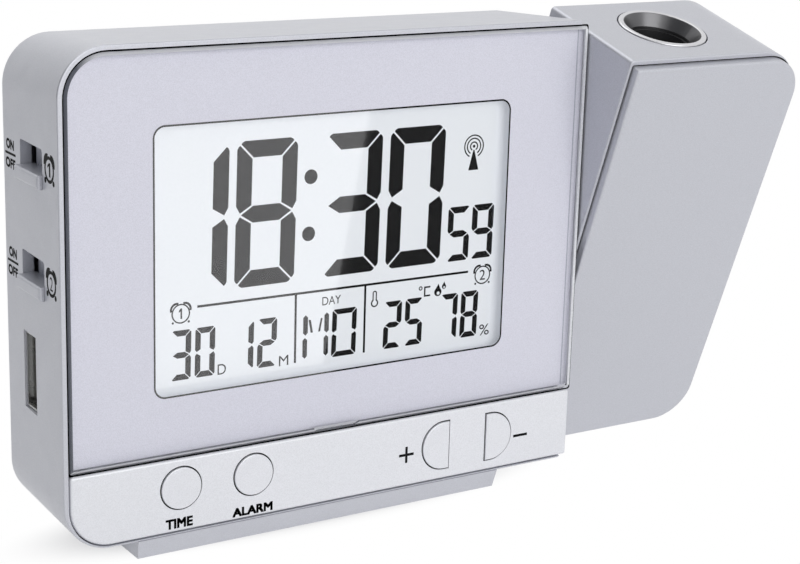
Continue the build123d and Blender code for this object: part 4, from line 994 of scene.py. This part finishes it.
def add_floor():
    """Pale floor that keeps the object's shadow and turns white further out."""
    ends = [(-1, -1), (1, -1), (1, 1), (-1, 1)]
    floor = sheet("floor", [(x * FLOOR_HALF, y * FLOOR_HALF, 0) for x, y in ends])
    finish = Finish("floor", Base_Color=(*FLOOR_COLOR, 1), Roughness=MATT, Specular_IOR_Level=0.0)
    oval = finish.vector(finish.place, "DIVIDE", SHADOW_HALF)
    distance = finish.vector(oval.outputs["Vector"], "LENGTH")
    fade = finish.ramp(distance.outputs["Value"], FLOOR_NEAR, FLOOR_FAR)
    fade.interpolation_type = "SMOOTHSTEP"
    seen = finish.add("ShaderNodeMath", "MULTIPLY")
    finish.link(fade.outputs["Result"], seen.inputs[0])
    finish.link(any_ray(finish.tree, *SEEN_RAYS), seen.inputs[1])
    white = finish.add("ShaderNodeEmission", Strength=1.0)
    finish.link(seen.outputs[0], finish.either(finish.shader.outputs["BSDF"], white.outputs["Emission"]))
    floor.data.materials.append(finish.material)


def card_finish(name, color, ray, shown):
    """Matt card that shows only to a kind of ray, or to all but that kind."""
    finish = Finish(name, Base_Color=(*color, 1), Roughness=MATT)
    unseen = finish.add("ShaderNodeBsdfTransparent")
    surfaces = (unseen.outputs["BSDF"], finish.shader.outputs["BSDF"])
    factor = finish.either(*surfaces) if shown else finish.either(*reversed(surfaces))
    finish.link(any_ray(finish.tree, ray), factor)
    return finish.material


def add_world():
    """White where it is seen, and soft light for the rest."""
    world = bpy.data.worlds.new("studio")
    world.use_nodes = True
    bpy.context.scene.world = world
    tree = world.node_tree
    light = tree.nodes["Background"]
    light.inputs["Strength"].default_value = WORLD_STRENGTH
    light.inputs["Color"].default_value = (1, 1, 1, 1)
    white = tree.nodes.new("ShaderNodeBackground")
    white.inputs["Color"].default_value = (1, 1, 1, 1)
    mix = tree.nodes.new("ShaderNodeMixShader")
    tree.links.new(any_ray(tree, *SEEN_RAYS), mix.inputs["Fac"])
    tree.links.new(light.outputs["Background"], mix.inputs[1])
    tree.links.new(white.outputs["Background"], mix.inputs[2])
    tree.links.new(mix.outputs["Shader"], tree.nodes["World Output"].inputs["Surface"])


CARD_HEIGHT = 0.001
CARD_EDGE = ((60.9, 80.0), (47.9, 13.0))
CARD_FAR = 112.0
CARD_COLOR = (0.01, 0.01, 0.012)


def add_card():
    """Dark card by the clock that shows only through the lens plate: the display's right part reflects it."""
    depth = LCD_FRONT
    mirror_y = in_case(0, depth, 0).y
    eye = Vector((CAMERA_PLACE.x, 2 * mirror_y - CAMERA_PLACE.y, CAMERA_PLACE.z))
    (top_x, top_z), (low_x, low_z) = CARD_EDGE
    corners = []
    for x, z in ((top_x, top_z), (low_x, low_z), (CARD_FAR, low_z), (CARD_FAR, top_z)):
        spot = in_case(x, depth, z)
        reach = (CARD_HEIGHT - eye.z) / (spot.z - eye.z)
        corners.append(eye + (spot - eye) * reach)
    card = sheet("card", corners)
    card.data.materials.append(card_finish("card", CARD_COLOR, "Is Transmission Ray", True))


FLAG_LEFT = -0.40
FLAG_HALF = 0.45
FLAG_HEIGHT = 0.55
FLAG_COLOR = (0.16, 0.17, 0.19)


def add_flag():
    """Grey card left of the clock that darkens its left wall; the camera looks through it."""
    ends = ((-FLAG_HALF, 0), (FLAG_HALF, 0), (FLAG_HALF, FLAG_HEIGHT), (-FLAG_HALF, FLAG_HEIGHT))
    flag = sheet("flag", [(FLAG_LEFT, y, z) for y, z in ends])
    flag.data.materials.append(card_finish("flag", FLAG_COLOR, "Is Camera Ray", False))


def add_lamp(name, place, target, size, power):
    """Square soft lamp that faces a target."""
    data = bpy.data.lights.new(name, "AREA")
    data.size = size
    data.energy = power
    lamp = linked(name, data)
    lamp.location = place
    lamp.rotation_euler = (Vector(target) - Vector(place)).to_track_quat("-Z", "Y").to_euler()


add_floor()
add_card()
add_flag()
add_world()
LAMP_TARGET = (0, 0, 0.04)
add_lamp("key", (0.08, -1.38, 0.28), LAMP_TARGET, 1.2, 10.2)
add_lamp("top", (0.0, 0.65, 1.15), LAMP_TARGET, 0.9, 3.4)

bpy.context.scene.view_settings.view_transform = "Standard"
